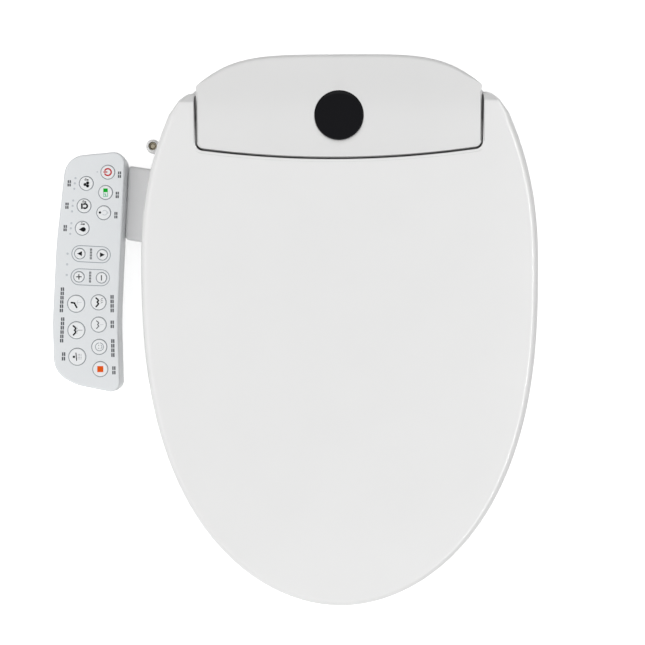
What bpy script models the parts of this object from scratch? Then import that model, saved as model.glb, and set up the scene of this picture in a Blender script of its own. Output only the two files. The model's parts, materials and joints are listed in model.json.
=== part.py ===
"""Electric bidet seat: housing, seat ring, lid and side control panel.

Frame: +Z up, +Y towards the rear (tank side), -X is the side of the control panel.
The origin is the middle of the mounting plate's underside, between the two bowl bolts.
Positive sizes are in metres; MM turns the millimetre figures below into metres.
"""

import math

import bmesh
import bpy
from mathutils import Matrix, Vector

MM = 0.001
GAP = 0.4 * MM  # clearance kept between neighbouring pieces

# Lid outline, seen from above
LID_HALF_WIDTH = 190.5 * MM
LID_WIDEST_Y = -155 * MM
LID_FRONT_Y = -477.2 * MM
LID_REAR_Y = 20 * MM  # rear end of the two ears beside the housing
LID_REAR_DROP = 39.5 * MM  # how much the half width shrinks from the widest point to the ears
EAR_CORNERS = ((152.6 * MM, 12.6 * MM, 24 * MM), (144.5 * MM, 19.4 * MM, 12 * MM))  # x, y, radius
NOTCH_HALF_WIDTH = 136.2 * MM
NOTCH_FRONT_Y = -44.3 * MM
NOTCH_BOW = 8.6 * MM  # the notch's front edge bows forward by this much
NOTCH_BOW_AT = 128 * MM

# Lid surface
LID_TOP = 122.6 * MM  # height of the top surface over the hinge axis, from the base plane
LID_SLOPE = 0.085
LID_SAG = 0.065  # per metre, makes the top surface convex from front to rear
LID_CROWN = 4 * MM
LID_WALL = 2.6 * MM
LID_EDGE = 7 * MM
NOTCH_EDGE = 1.5 * MM
LID_SKIRT = 14 * MM
EAR_BREAK_Y = 10.5 * MM  # the ears slope down behind this line
EAR_SLOPE = 1.25

# Hinge shared by lid and seat ring
HINGE_Z = 92 * MM
SHAFT_RADIUS = 5 * MM
DAMPER_RADIUS = 11 * MM
SEAT_LUG = (137.6 * MM, 146.0 * MM)  # nearest and furthest |x| of the seat ring's lugs
LID_BOSS = (147.2 * MM, 154.0 * MM)  # the same for the lid's bosses
LUG_RADIUS = 13.5 * MM

# Seat ring
SEAT_INSET = 5 * MM  # the ring is this much smaller than the lid all round
SEAT_DROP = 17 * MM  # its top lies this much under the lid's top
SEAT_REAR_Y = -57 * MM
SEAT_WALL = 3 * MM
HOLE_HALF_WIDTH = 105 * MM
HOLE_CENTRE_Y = -238 * MM
HOLE_FRONT = 160 * MM
HOLE_REAR = 102 * MM
SEAT_FRONT_FLOOR = 11 * MM  # underside over the bowl rim
SEAT_REAR_FLOOR = 52 * MM  # underside over the housing's wings

# Housing
COVER_HALF_WIDTH = 134.8 * MM
COVER_FRONT_Y = -42.2 * MM
COVER_REAR_Y = 55.2 * MM
COVER_LIP = 135.6 * MM  # half width of the slightly wider rear part
COVER_TOP = 124.5 * MM
COVER_WALL = 2.8 * MM
COVER_FLOOR = 50.2 * MM
WINDOW_RADIUS = 23.2 * MM
WINDOW_Y = -3.4 * MM
BASE_INSET = 10 * MM
BASE_HEIGHT = 46 * MM
BASE_WALL = 3 * MM
WING_FRONT_Y = -122 * MM
DECK_TOP = 49.8 * MM

# Mounting plate
PLATE_SIZE = (200 * MM, 52 * MM, 6.2 * MM)
BOLT_X = 72 * MM
BOLT_SLOT = (36 * MM, 8.6 * MM)

# Nozzles, in a frame that slopes down to the front
NOZZLE_EXIT = (0.0, -86 * MM, 18 * MM)
NOZZLE_TILT = math.radians(20)
NOZZLE_X = 10 * MM
NOZZLE_RADIUS = 6.5 * MM
NOZZLE_LENGTH = 134 * MM
NOZZLE_REST = 4 * MM  # the tips park this far behind the exit
GEAR_MODULE = 1 * MM
PINION_TEETH = 12
PINION_AT = 48 * MM
RACK_PITCH_LINE = -9 * MM

# Control panel
PANEL_TOP = 70 * MM
PANEL_SEAM = 48 * MM
PANEL_FLOOR = 25 * MM
PANEL_WALL = 2.4 * MM
ARM_TOP = 44.5 * MM
KEY_PROUD = 0.6 * MM
KEY_HEIGHT = 3.4 * MM

# Water inlet
INLET_X = -183 * MM
INLET_Y = -24 * MM
INLET_TOP = 58 * MM

COLOURS = {
    "white_gloss": ((0.86, 0.86, 0.85, 1), 0.22, 0.0),
    "white_panel": ((0.84, 0.86, 0.87, 1), 0.35, 0.0),
    "key_cap": ((0.88, 0.90, 0.90, 1), 0.4, 0.0),
    "black_gloss": ((0.012, 0.012, 0.015, 1), 0.08, 0.0),
    "grey_plastic": ((0.35, 0.36, 0.37, 1), 0.5, 0.0),
    "rubber": ((0.62, 0.62, 0.61, 1), 0.8, 0.0),
    "steel": ((0.62, 0.62, 0.63, 1), 0.3, 1.0),
    "brass": ((0.68, 0.50, 0.26, 1), 0.3, 1.0),
    "circuit": ((0.03, 0.22, 0.09, 1), 0.5, 0.0),
    "heating_foil": ((0.72, 0.50, 0.35, 1), 0.4, 0.6),
    "clear_lens": ((0.80, 0.88, 0.95, 1), 0.1, 0.0),
}


# ---------------------------------------------------------------- scene helpers


def clear_scene():
    for obj in list(bpy.data.objects):
        bpy.data.objects.remove(obj, do_unlink=True)


def collection(name):
    made = bpy.data.collections.new(name)
    bpy.context.scene.collection.children.link(made)
    return made


def material(name):
    found = bpy.data.materials.get(name)
    if found:
        return found
    colour, roughness, metallic = COLOURS[name]
    made = bpy.data.materials.new(name)
    made.use_nodes = True
    shader = made.node_tree.nodes["Principled BSDF"]
    shader.inputs["Base Color"].default_value = colour
    shader.inputs["Roughness"].default_value = roughness
    shader.inputs["Metallic"].default_value = metallic
    made.diffuse_color = colour
    return made


clear_scene()
PARTS = collection("electric_bidet_seat")
TOOLS = collection("cutters")


def add_object(name, bm, finish=None):
    """Turns a bmesh into an object: a part with its material, or a hidden tool without one."""
    mesh = bpy.data.meshes.new(name)
    bm.to_mesh(mesh)
    bm.free()
    obj = bpy.data.objects.new(name, mesh)
    if finish:
        PARTS.objects.link(obj)
        mesh.materials.append(material(finish))
        mesh.shade_smooth()
        mesh.set_sharp_from_angle(angle=math.radians(35))
    else:
        TOOLS.objects.link(obj)
        obj.hide_render = True
        obj.display_type = "WIRE"
    return obj


def pivot(name, location, tilt=0.0):
    """An empty on a joint's axis, or on a tilted frame."""
    empty = bpy.data.objects.new(name, None)
    empty.location = location
    empty.rotation_euler = (tilt, 0, 0)
    PARTS.objects.link(empty)
    bpy.context.view_layer.update()
    return empty


def hang(obj, parent, keep_place=True):
    """Parents an object; with keep_place its mesh is already in world coordinates."""
    obj.parent = parent
    if keep_place:
        obj.matrix_parent_inverse = parent.matrix_world.inverted()
    return obj


def boolean(obj, tool, operation):
    modifier = obj.modifiers.new(operation.title() + "_" + tool.name, "BOOLEAN")
    modifier.operation = operation
    modifier.object = tool
    return obj


def cut(obj, *tools):
    for tool in tools:
        boolean(obj, tool, "DIFFERENCE")
    return obj


def join(obj, *tools):
    for tool in tools:
        boolean(obj, tool, "UNION")
    return obj


def solidify(obj, thickness):
    modifier = obj.modifiers.new("Wall", "SOLIDIFY")
    modifier.thickness = thickness
    modifier.offset = -1
    modifier.use_even_offset = True
    return obj


def bevel(obj, width, segments=2, angle=50):
    modifier = obj.modifiers.new("Bevel", "BEVEL")
    modifier.width = width
    modifier.segments = segments
    modifier.limit_method = "ANGLE"
    modifier.angle_limit = math.radians(angle)
    return obj


# ---------------------------------------------------------------- shape helpers


def smoothstep(low, high, value):
    t = min(max((value - low) / (high - low), 0.0), 1.0)
    return t * t * (3 - 2 * t)


def box(name, low, high, finish=None):
    bm = bmesh.new()
    low, high = Vector(low), Vector(high)
    bmesh.ops.create_cube(bm, size=1, matrix=Matrix.Translation((low + high) / 2))
    middle = (low + high) / 2
    for vert in bm.verts:
        offset = vert.co - middle
        vert.co = middle + Vector(o * s for o, s in zip(offset, high - low))
    return add_object(name, bm, finish)


def cylinder(name, start, end, radius, finish=None, segments=20, end_radius=None):
    """A cylinder, or a cone, from start to end."""
    start, end = Vector(start), Vector(end)
    along = end - start
    turn = along.to_track_quat("Z", "Y").to_matrix().to_4x4()
    bm = bmesh.new()
    bmesh.ops.create_cone(
        bm,
        cap_ends=True,
        segments=segments,
        radius1=radius,
        radius2=radius if end_radius is None else end_radius,
        depth=along.length,
        matrix=Matrix.Translation((start + end) / 2) @ turn,
    )
    return add_object(name, bm, finish)


def rounded(corners, steps=3):
    """A closed outline through corners (x, y, radius), each radius above zero drawn as an arc."""
    points = []
    for i, (x, y, radius) in enumerate(corners):
        here = Vector((x, y))
        if radius == 0:
            points.append(here)
            continue
        back = (Vector(corners[i - 1][:2]) - here).normalized()
        ahead = (Vector(corners[(i + 1) % len(corners)][:2]) - here).normalized()
        half = back.angle(ahead) / 2
        centre = here + (back + ahead).normalized() * radius / math.sin(half)
        reach = radius / math.tan(half)
        first = here + back * reach - centre
        last = here + ahead * reach - centre
        turn = math.atan2(first.cross(last), first.dot(last))
        for k in range(steps + 1):
            points.append(centre + Matrix.Rotation(turn * k / steps, 2) @ first)
    return points


def mirrored(half):
    """A whole outline from its right half, which runs from the front centre to the rear centre."""
    return half + [Vector((-p.x, p.y)) for p in reversed(half[1:-1])]


def inset(outline, distance):
    """The outline moved inwards; distance is one number or one per point."""
    moved = []
    for i, point in enumerate(outline):
        before = (point - outline[i - 1]).normalized()
        after = (outline[(i + 1) % len(outline)] - point).normalized()
        normal_1 = Vector((-before.y, before.x))
        normal_2 = Vector((-after.y, after.x))
        step = distance if isinstance(distance, float) else distance[i]
        moved.append(point + (normal_1 + normal_2) / (1 + normal_1.dot(normal_2)) * step)
    return moved


def ring_of(bm, outline, heights):
    """One ring of vertices; heights is one number or one per point."""
    if isinstance(heights, (int, float)):
        heights = [heights] * len(outline)
    return [bm.verts.new((p.x, p.y, z)) for p, z in zip(outline, heights)]


def skin(bm, rings):
    """Quads between neighbouring rings. Counter-clockwise rings going up face outwards."""
    for lower, upper in zip(rings, rings[1:]):
        for i in range(len(lower)):
            j = (i + 1) % len(lower)
            bm.faces.new((lower[i], lower[j], upper[j], upper[i]))


def crowned_cap(bm, border, height, spacing, extra_y=()):
    """Fills a border ring with a grid of faces that follows height(x, y)."""
    mark = bm.faces.layers.int.new("cap")
    bm.faces.new(border)[mark] = 1
    known = set(bm.verts)
    spans = [(min(v.co[k] for v in border), max(v.co[k] for v in border)) for k in (0, 1)]
    planes = [
        (axis, i * spacing)
        for axis, (low, high) in enumerate(spans)
        for i in range(math.ceil(low / spacing), math.floor(high / spacing) + 1)
    ]
    for axis, at in planes + [(1, y) for y in extra_y]:
        faces = [f for f in bm.faces if f[mark]]
        edges = {e for f in faces for e in f.edges}
        verts = {v for f in faces for v in f.verts}
        normal, point = Vector((0, 0, 0)), Vector((0, 0, 0))
        normal[axis], point[axis] = 1, at
        bmesh.ops.bisect_plane(
            bm, geom=[*verts, *edges, *faces], plane_co=point, plane_no=normal, dist=1e-6
        )
    for vert in bm.verts:
        if vert not in known:
            vert.co.z = height(vert.co.x, vert.co.y)


def extruded(name, points, along, finish=None):
    """A solid made by extruding the face through the points."""
    bm = bmesh.new()
    face = bm.faces.new([bm.verts.new(p) for p in points])
    made = bmesh.ops.extrude_face_region(bm, geom=[face])["geom"]
    moving = [v for v in made if isinstance(v, bmesh.types.BMVert)]
    bmesh.ops.translate(bm, verts=moving, vec=along)
    bmesh.ops.recalc_face_normals(bm, faces=bm.faces)
    return add_object(name, bm, finish)


def plate(name, outline, low, high, finish=None):
    """A flat solid between two heights."""
    return extruded(name, [(p.x, p.y, low) for p in outline], (0, 0, high - low), finish)


def side_profile(name, points, x_low, x_high, finish=None):
    """A solid with a (y, z) profile between two x."""
    return extruded(name, [(x_low, y, z) for y, z in points], (x_high - x_low, 0, 0), finish)


def turned(name, profile, finish):
    """A solid turned about its local Z; the (radius, z) profile runs from the top down."""
    mesh = bpy.data.meshes.new(name)
    pairs = [(i, i + 1) for i in range(len(profile) - 1)]
    mesh.from_pydata([(r, 0, z) for r, z in profile], pairs, [])
    obj = bpy.data.objects.new(name, mesh)
    PARTS.objects.link(obj)
    mesh.materials.append(material(finish))
    screw = obj.modifiers.new("Turn", "SCREW")
    screw.steps = screw.render_steps = 18
    screw.use_merge_vertices = True
    screw.merge_threshold = 0.0001
    screw.use_smooth_shade = True
    return obj


# ---------------------------------------------------------------- outlines


def lid_half_width(y):
    """Half width of the lid behind its widest point."""
    share = max(0.0, (y - LID_WIDEST_Y) / (LID_REAR_Y - LID_WIDEST_Y))
    return LID_HALF_WIDTH - LID_REAR_DROP * share**2.45


def front_curve(steps):
    """The lid's front, from the tip to the widest point: a superellipse quarter."""
    points = []
    for i in range(steps + 1):
        t = math.radians(90) * i / steps
        x = LID_HALF_WIDTH * math.sin(t) ** (2 / 1.95)
        y = LID_WIDEST_Y - (LID_WIDEST_Y - LID_FRONT_Y) * math.cos(t) ** (2 / 2.5)
        points.append(Vector((x, y)))
    return points


def notch_y(x, front_y):
    return front_y + NOTCH_BOW * (x / NOTCH_BOW_AT) ** 2


def curve_corners(points):
    return [(p.x, p.y, 0) for p in points]


def lid_outline():
    corners = curve_corners(front_curve(15))
    corners += [(lid_half_width(y * MM), y * MM, 0) for y in (-130, -105, -80, -55, -32, -12)]
    corners += [
        (lid_half_width(2 * MM), 2 * MM, 0),
        *EAR_CORNERS,
        (NOTCH_HALF_WIDTH, LID_REAR_Y, 3.2 * MM),
        (NOTCH_HALF_WIDTH, notch_y(NOTCH_HALF_WIDTH, NOTCH_FRONT_Y), 7.4 * MM),
    ]
    corners += [(x * MM, notch_y(x * MM, NOTCH_FRONT_Y), 0) for x in (120, 90, 60, 30, 0)]
    return mirrored(rounded(corners))


def seat_outline():
    """The lid's outline moved inwards, with a rear edge of its own in front of the housing."""
    side = front_curve(15)
    side += [Vector((lid_half_width(y * MM), y * MM)) for y in (-130, -105, -82, -40)]
    inner = inset(mirrored(side + [Vector((0.0, 0.0))]), SEAT_INSET)
    inner[0].x = 0.0
    corners = curve_corners(inner[: len(side) - 1])
    corners += [(lid_half_width(SEAT_REAR_Y) - SEAT_INSET, -48 * MM, 22 * MM)]
    corners += [(x * MM, notch_y(x * MM, SEAT_REAR_Y), 0) for x in (125, 95, 60, 30, 0)]
    return mirrored(rounded(corners))


def base_outline():
    corners = [
        (0, -86 * MM, 0),
        (60 * MM, -86.5 * MM, 0),
        (100 * MM, -89 * MM, 9 * MM),
        (126 * MM, WING_FRONT_Y, 9 * MM),
        (lid_half_width(WING_FRONT_Y) - BASE_INSET, WING_FRONT_Y, 14 * MM),
    ]
    corners += [(lid_half_width(y * MM) - BASE_INSET, y * MM, 0) for y in (-95, -70, -45, -22, 0)]
    corners += [(146.5 * MM, 27 * MM, 5 * MM), (139.5 * MM, 33 * MM, 5 * MM)]
    corners += [(x * MM, cover_rear_y(x * MM) - 1.5 * MM, 0) for x in (118, 100, 78, 45, 0)]
    return mirrored(rounded(corners))


def cover_rear_y(x):
    return COVER_REAR_Y - 30.2 * MM * (x / (136 * MM)) ** 4.5


def cover_outline():
    half = [(x * MM, notch_y(x * MM, COVER_FRONT_Y), 0) for x in (0, 30, 60, 90, 120)]
    half += [
        (COVER_HALF_WIDTH, notch_y(COVER_HALF_WIDTH, COVER_FRONT_Y), 6 * MM),
        (COVER_HALF_WIDTH, 21.2 * MM, 0),
        (COVER_LIP, 22.6 * MM, 0),
        (COVER_LIP, cover_rear_y(COVER_LIP), 2.5 * MM),
    ]
    half += [(x * MM, cover_rear_y(x * MM), 0) for x in (120, 105, 88, 68, 40, 0)]
    return mirrored(rounded(half))


def panel_outline():
    return rounded(
        [
            (-208.4 * MM, -29.8 * MM, 11 * MM),
            (-268.8 * MM, -35 * MM, 24 * MM),
            (-277.6 * MM, -120 * MM, 300 * MM),
            (-281.8 * MM, -195 * MM, 300 * MM),
            (-280.5 * MM, -248.5 * MM, 24 * MM),
            (-258 * MM, -259 * MM, 40 * MM),
            (-215.2 * MM, -267.5 * MM, 9 * MM),
            (-217 * MM, -195 * MM, 400 * MM),
        ],
        4,
    )


# ---------------------------------------------------------------- surfaces


def lid_height(x, y):
    fall = EAR_SLOPE * max(0.0, y - EAR_BREAK_Y)
    crown = LID_CROWN * (x / LID_HALF_WIDTH) ** 2
    return LID_TOP + LID_SLOPE * y - LID_SAG * y * y - crown - fall


def seat_height(x, y):
    crown = LID_CROWN * (x / LID_HALF_WIDTH) ** 2
    return LID_TOP - SEAT_DROP + LID_SLOPE * y - LID_SAG * y * y - crown


def seat_floor(y):
    rise = smoothstep(-150 * MM, -128 * MM, y)
    return SEAT_FRONT_FLOOR + (SEAT_REAR_FLOOR - SEAT_FRONT_FLOOR) * rise


def cover_height(x, y):
    crown = 4.5 * MM * (x / COVER_HALF_WIDTH) ** 2
    rear_fall = 3.5 * MM * smoothstep(0, COVER_REAR_Y, y)
    front_fall = 5 * MM * smoothstep(10 * MM, -45 * MM, y)
    return COVER_TOP - crown - rear_fall - front_fall


def swing_y(y, z, new_z):
    """The y at new_z of a wall that keeps its distance to the axis, upright under the axis."""
    radius = math.hypot(y, z - HINGE_Z)
    return -math.sqrt(radius**2 - max(0.0, new_z - HINGE_Z) ** 2)


# ---------------------------------------------------------------- lid


def in_notch(p):
    return abs(p.x) < NOTCH_HALF_WIDTH + 0.5 * MM and p.y > -46 * MM


def lid_edge_radius(p):
    if in_notch(p):
        return NOTCH_EDGE
    return LID_EDGE - 4.6 * MM * smoothstep(-10 * MM, 14 * MM, p.y)


def lid_skirt_depth(p):
    """The rim is deep beside the hinge, where it covers the bosses, and shallow elsewhere."""
    if in_notch(p):
        return 9 * MM
    deeper = 29 * MM * smoothstep(-62 * MM, -12 * MM, p.y)
    return LID_SKIRT + deeper - 14 * MM * smoothstep(2 * MM, 14 * MM, p.y)


def edge_rings(outline, radii, height, steps):
    """Rings that round a top edge, from the wall to the top surface."""
    rings = []
    top = inset(outline, radii)
    for k in range(steps + 1):
        angle = math.radians(90) * k / steps
        moved = inset(outline, [r * (1 - math.cos(angle)) for r in radii])
        z = [height(t.x, t.y) - r * (1 - math.sin(angle)) for t, r in zip(top, radii)]
        rings.append((moved, z))
    return rings


def make_lid(body):
    outline = lid_outline()
    radii = [lid_edge_radius(p) for p in outline]
    rings = edge_rings(outline, radii, lid_height, 2)
    skirt, skirt_z = [], []
    for p, z, r in zip(outline, rings[0][1], radii):
        low = z + r - lid_skirt_depth(p)
        forward = in_notch(p) and p.y < -25 * MM
        skirt.append(Vector((p.x, swing_y(p.y, z + r, low))) if forward else p)
        skirt_z.append(low)
    bm = bmesh.new()
    made = [ring_of(bm, skirt, skirt_z)] + [ring_of(bm, o, z) for o, z in rings]
    skin(bm, made)
    crowned_cap(bm, made[-1], lid_height, 44 * MM, extra_y=[EAR_BREAK_Y])
    lid = solidify(add_object("lid_shell", bm, "white_gloss"), LID_WALL)
    for side, name in ((1, "right"), (-1, "left")):
        near, far = (side * x for x in LID_BOSS)
        boss = cylinder(
            "lid_boss_" + name, (near, 0, HINGE_Z), (far, 0, HINGE_Z), 9.5 * MM, segments=20
        )
        rib = box(
            "lid_rib_" + name,
            (min(near, far), -4 * MM, HINGE_Z + 6 * MM),
            (max(near, far), 4 * MM, 118.7 * MM),
        )
        bore = cylinder(
            "lid_bore_" + name,
            (side * (LID_BOSS[0] - 2 * MM), 0, HINGE_Z),
            (side * (LID_BOSS[1] - 2 * MM), 0, HINGE_Z),
            SHAFT_RADIUS + GAP,
        )
        join(lid, boss, rib)
        cut(lid, bore)
    hang(lid, body)
    for side, name in ((1, "right"), (-1, "left")):
        x, y = side * 95 * MM, -405 * MM
        under = lid_height(x, y) - LID_WALL - 1.2 * MM
        pad = cylinder(
            "lid_bumper_" + name,
            (x, y, under - 9.5 * MM),
            (x, y, under),
            7 * MM,
            "rubber",
            16,
        )
        hang(pad, body)
    shaft = cylinder(
        "lid_hinge_shaft",
        (118 * MM, 0, HINGE_Z),
        (LID_BOSS[1] - 2.4 * MM, 0, HINGE_Z),
        SHAFT_RADIUS,
        "steel",
    )
    hang(shaft, body)


# ---------------------------------------------------------------- seat ring


def hole_point(toward):
    """The point of the egg-shaped opening in the direction of another point."""
    centre = Vector((0, HOLE_CENTRE_Y))
    direction = (toward - centre).normalized()
    depth = HOLE_REAR if direction.y > 0 else HOLE_FRONT
    power = 2.15
    scale = (abs(direction.x) / HOLE_HALF_WIDTH) ** power + (abs(direction.y) / depth) ** power
    return centre + direction * scale ** (-1 / power)


def seat_rings(steps=((0.0, 0.0), (0.5, -1.5), (1.0, -5.5))):
    """Ring outlines over the seat's top surface, as (outline, heights) from outside to inside."""
    outer = inset(seat_outline(), 7 * MM)
    hole = [hole_point(p) for p in outer]
    inner = inset(hole, -7 * MM)
    rings = []
    for share, dip in steps:
        outline = [a.lerp(b, share) for a, b in zip(outer, inner)]
        rings.append((outline, [seat_height(p.x, p.y) + dip * MM for p in outline]))
    return rings


def make_seat(body):
    outer = seat_outline()
    floors = [seat_floor(p.y) for p in outer]
    top = seat_rings()
    hole = [hole_point(p) for p in inset(outer, 7 * MM)]
    bm = bmesh.new()
    rings = [
        ring_of(bm, outer, floors),
        ring_of(bm, outer, [z - 7 * MM for z in top[0][1]]),
        ring_of(bm, inset(outer, 2.1 * MM), [z - 2.1 * MM for z in top[0][1]]),
        *[ring_of(bm, outline, z) for outline, z in top],
        ring_of(bm, inset(hole, -2.1 * MM), [z - 2.1 * MM for z in top[-1][1]]),
        ring_of(bm, hole, [z - 7 * MM for z in top[-1][1]]),
        ring_of(bm, hole, floors),
    ]
    skin(bm, rings)
    seat = solidify(add_object("seat_top_shell", bm, "white_gloss"), SEAT_WALL)
    for side, name in ((1, "right"), (-1, "left")):
        near, far = sorted(side * x for x in SEAT_LUG)
        join(seat, seat_lug("seat_lug_" + name, near, far))
        cut(
            seat,
            cylinder(
                "seat_bore_" + name,
                (near - 3 * MM, 0, HINGE_Z),
                (far + 3 * MM, 0, HINGE_Z),
                SHAFT_RADIUS + GAP,
            ),
        )
    hang(seat, body)
    make_seat_inside(body, outer, hole, floors)
    shaft = cylinder(
        "seat_hinge_shaft",
        (-118 * MM, 0, HINGE_Z),
        (-LID_BOSS[1] + 2.4 * MM, 0, HINGE_Z),
        SHAFT_RADIUS,
        "steel",
    )
    hang(shaft, body)


def seat_lug(name, x_low, x_high):
    """Hinge lug: a round hub on the axis and an arm that reaches into the ring."""
    arc = [math.radians(a) for a in range(-80, 91, 17)]
    hub = [(LUG_RADIUS * math.cos(a), HINGE_Z + LUG_RADIUS * math.sin(a)) for a in arc]
    arm = [(-50 * MM, 98.5 * MM), (-60 * MM, 96 * MM), (-60 * MM, 76 * MM), (-30 * MM, 80 * MM)]
    return side_profile(name, hub + arm, x_low, x_high)


def make_seat_inside(body, outer, hole, floors):
    """Bottom shell, heating mat and bumpers of the seat ring."""
    slack = SEAT_WALL + GAP
    outside, inside = inset(outer, slack), inset(hole, -slack)
    bm = bmesh.new()
    heights = [z + 2.8 * MM for z in floors]
    skin(bm, [ring_of(bm, outside, heights), ring_of(bm, inside, heights)])
    hang(solidify(add_object("seat_bottom_shell", bm, "white_gloss"), 2.4 * MM), body)

    bm = bmesh.new()
    mat = seat_rings(((0.08, -0.2), (0.5, -1.5), (0.92, -4.8)))
    skin(bm, [ring_of(bm, outline, [h - 4.4 * MM for h in z]) for outline, z in mat])
    hang(solidify(add_object("seat_heating_mat", bm, "heating_foil"), 1 * MM), body)

    places = {
        "front_left": (-118, -372),
        "front_right": (118, -372),
        "rear_left": (-152, -190),
        "rear_right": (152, -190),
    }
    for name, (x, y) in places.items():
        half_long, half_wide = 16 * MM, 7 * MM
        foot = box(
            "seat_bumper_" + name,
            (-half_wide, -half_long, 0),
            (half_wide, half_long, SEAT_FRONT_FLOOR - GAP),
            "rubber",
        )
        bevel(foot, 2 * MM, 1)
        foot.location = (x * MM, y * MM, 0)
        foot.rotation_euler.z = math.atan2(x, -y - 60) * 0.75
        bpy.context.view_layer.update()
        hang(foot, body)


# ---------------------------------------------------------------- housing


def make_base():
    outline = base_outline()
    bm = bmesh.new()
    edge = 2 * MM
    floor = ring_of(bm, inset(outline, edge), 0.0)
    rings = [floor, ring_of(bm, outline, edge), ring_of(bm, outline, BASE_HEIGHT)]
    skin(bm, rings)
    bm.faces.new(list(reversed(floor)))
    base = solidify(add_object("base_case", bm, "white_gloss"), BASE_WALL)

    half_x, half_y, height = PLATE_SIZE[0] / 2, PLATE_SIZE[1] / 2, PLATE_SIZE[2]
    roof = height + GAP
    block_low, block_high = (-half_x - 4 * MM, -30 * MM, 1 * MM), (half_x + 4 * MM, 44 * MM, roof + 3 * MM)
    join(base, box("channel_block", block_low, block_high))
    channel = box(
        "channel", (-half_x - GAP, -half_y - GAP, -5 * MM), (half_x + GAP, 70 * MM, roof)
    )
    frame = bpy.data.objects["nozzle_frame"]
    nozzle_exit = hang(
        box("nozzle_exit", (-23 * MM, -20 * MM, -11.5 * MM), (23 * MM, 8 * MM, 12 * MM)),
        frame,
        keep_place=False,
    )
    air_exit = box("air_exit", (63.5 * MM, -95 * MM, 12 * MM), (96.5 * MM, -80 * MM, 36.2 * MM))
    lamp_hole = cylinder(
        "lamp_hole", (-70 * MM, -95 * MM, 24 * MM), (-70 * MM, -78 * MM, 24 * MM), 6.4 * MM
    )
    button_hole = cylinder(
        "button_hole", (140 * MM, -30 * MM, 24 * MM), (175 * MM, -30 * MM, 24 * MM), 7.4 * MM
    )
    cord_hole = cylinder(
        "cord_hole", (100 * MM, 30 * MM, 24 * MM), (100 * MM, 60 * MM, 24 * MM), 8.4 * MM
    )
    inlet_hole = cylinder(
        "inlet_hole", (-175 * MM, INLET_Y, 34 * MM), (-145 * MM, INLET_Y, 34 * MM), 6.6 * MM
    )
    arm_hole = box("arm_hole", (-195 * MM, -105.5 * MM, 31 * MM), (-160 * MM, -64.5 * MM, 41 * MM))
    cut(base, channel, nozzle_exit, air_exit, lamp_hole, button_hole, cord_hole, inlet_hole, arm_hole)


def make_deck():
    deck = plate("deck_cover", base_outline(), BASE_HEIGHT + 0.3 * MM, DECK_TOP, "white_gloss")
    opening = box("deck_opening", (-112 * MM, -41.3 * MM, 40 * MM), (112 * MM, 34 * MM, 60 * MM))
    cut(deck, opening)


def make_cover():
    outline = cover_outline()
    front = [p.y < -20 * MM for p in outline]
    radii = [NOTCH_EDGE + 3.5 * MM * smoothstep(24 * MM, 36 * MM, p.y) for p in outline]
    rings = edge_rings(outline, radii, cover_height, 2)
    bm = bmesh.new()
    walls = []
    for z in (COVER_FLOOR, 70 * MM, 92 * MM, 108 * MM):
        moved = [
            Vector((p.x, swing_y(p.y, top + r, z))) if f else p
            for p, top, r, f in zip(outline, rings[0][1], radii, front)
        ]
        walls.append(ring_of(bm, moved, z))
    made = walls + [ring_of(bm, o, z) for o, z in rings]
    skin(bm, made)
    crowned_cap(bm, made[-1], cover_height, 45 * MM)
    cover = solidify(add_object("rear_cover", bm, "white_gloss"), COVER_WALL)
    cut(
        cover,
        cylinder(
            "window_hole",
            (0, WINDOW_Y, 110 * MM),
            (0, WINDOW_Y, 135 * MM),
            WINDOW_RADIUS + GAP,
            segments=32,
        ),
        cylinder(
            "shaft_holes", (-150 * MM, 0, HINGE_Z), (150 * MM, 0, HINGE_Z), SHAFT_RADIUS + GAP
        ),
    )
    top = cover_height(0, WINDOW_Y)
    cylinder(
        "display_window",
        (0, WINDOW_Y, top - 3 * MM),
        (0, WINDOW_Y, top + 0.2 * MM),
        WINDOW_RADIUS,
        "black_gloss",
        32,
    )
    cylinder(
        "display_board",
        (0, WINDOW_Y, top - 7 * MM),
        (0, WINDOW_Y, top - 5.4 * MM),
        19 * MM,
        "circuit",
        16,
    )


def make_dampers():
    for side, name in ((1, "lid_damper"), (-1, "seat_damper")):
        damper = cylinder(
            name,
            (side * 78 * MM, 0, HINGE_Z),
            (side * 130.6 * MM, 0, HINGE_Z),
            DAMPER_RADIUS,
            "grey_plastic",
        )
        lever = box(
            name + "_foot",
            (side * 84 * MM - 5 * MM, -4 * MM, 76 * MM),
            (side * 84 * MM + 5 * MM, 4 * MM, HINGE_Z - 6 * MM),
        )
        bore = cylinder(
            name + "_bore",
            (side * 116 * MM, 0, HINGE_Z),
            (side * 135 * MM, 0, HINGE_Z),
            SHAFT_RADIUS + GAP,
        )
        join(damper, lever)
        cut(damper, bore)


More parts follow.
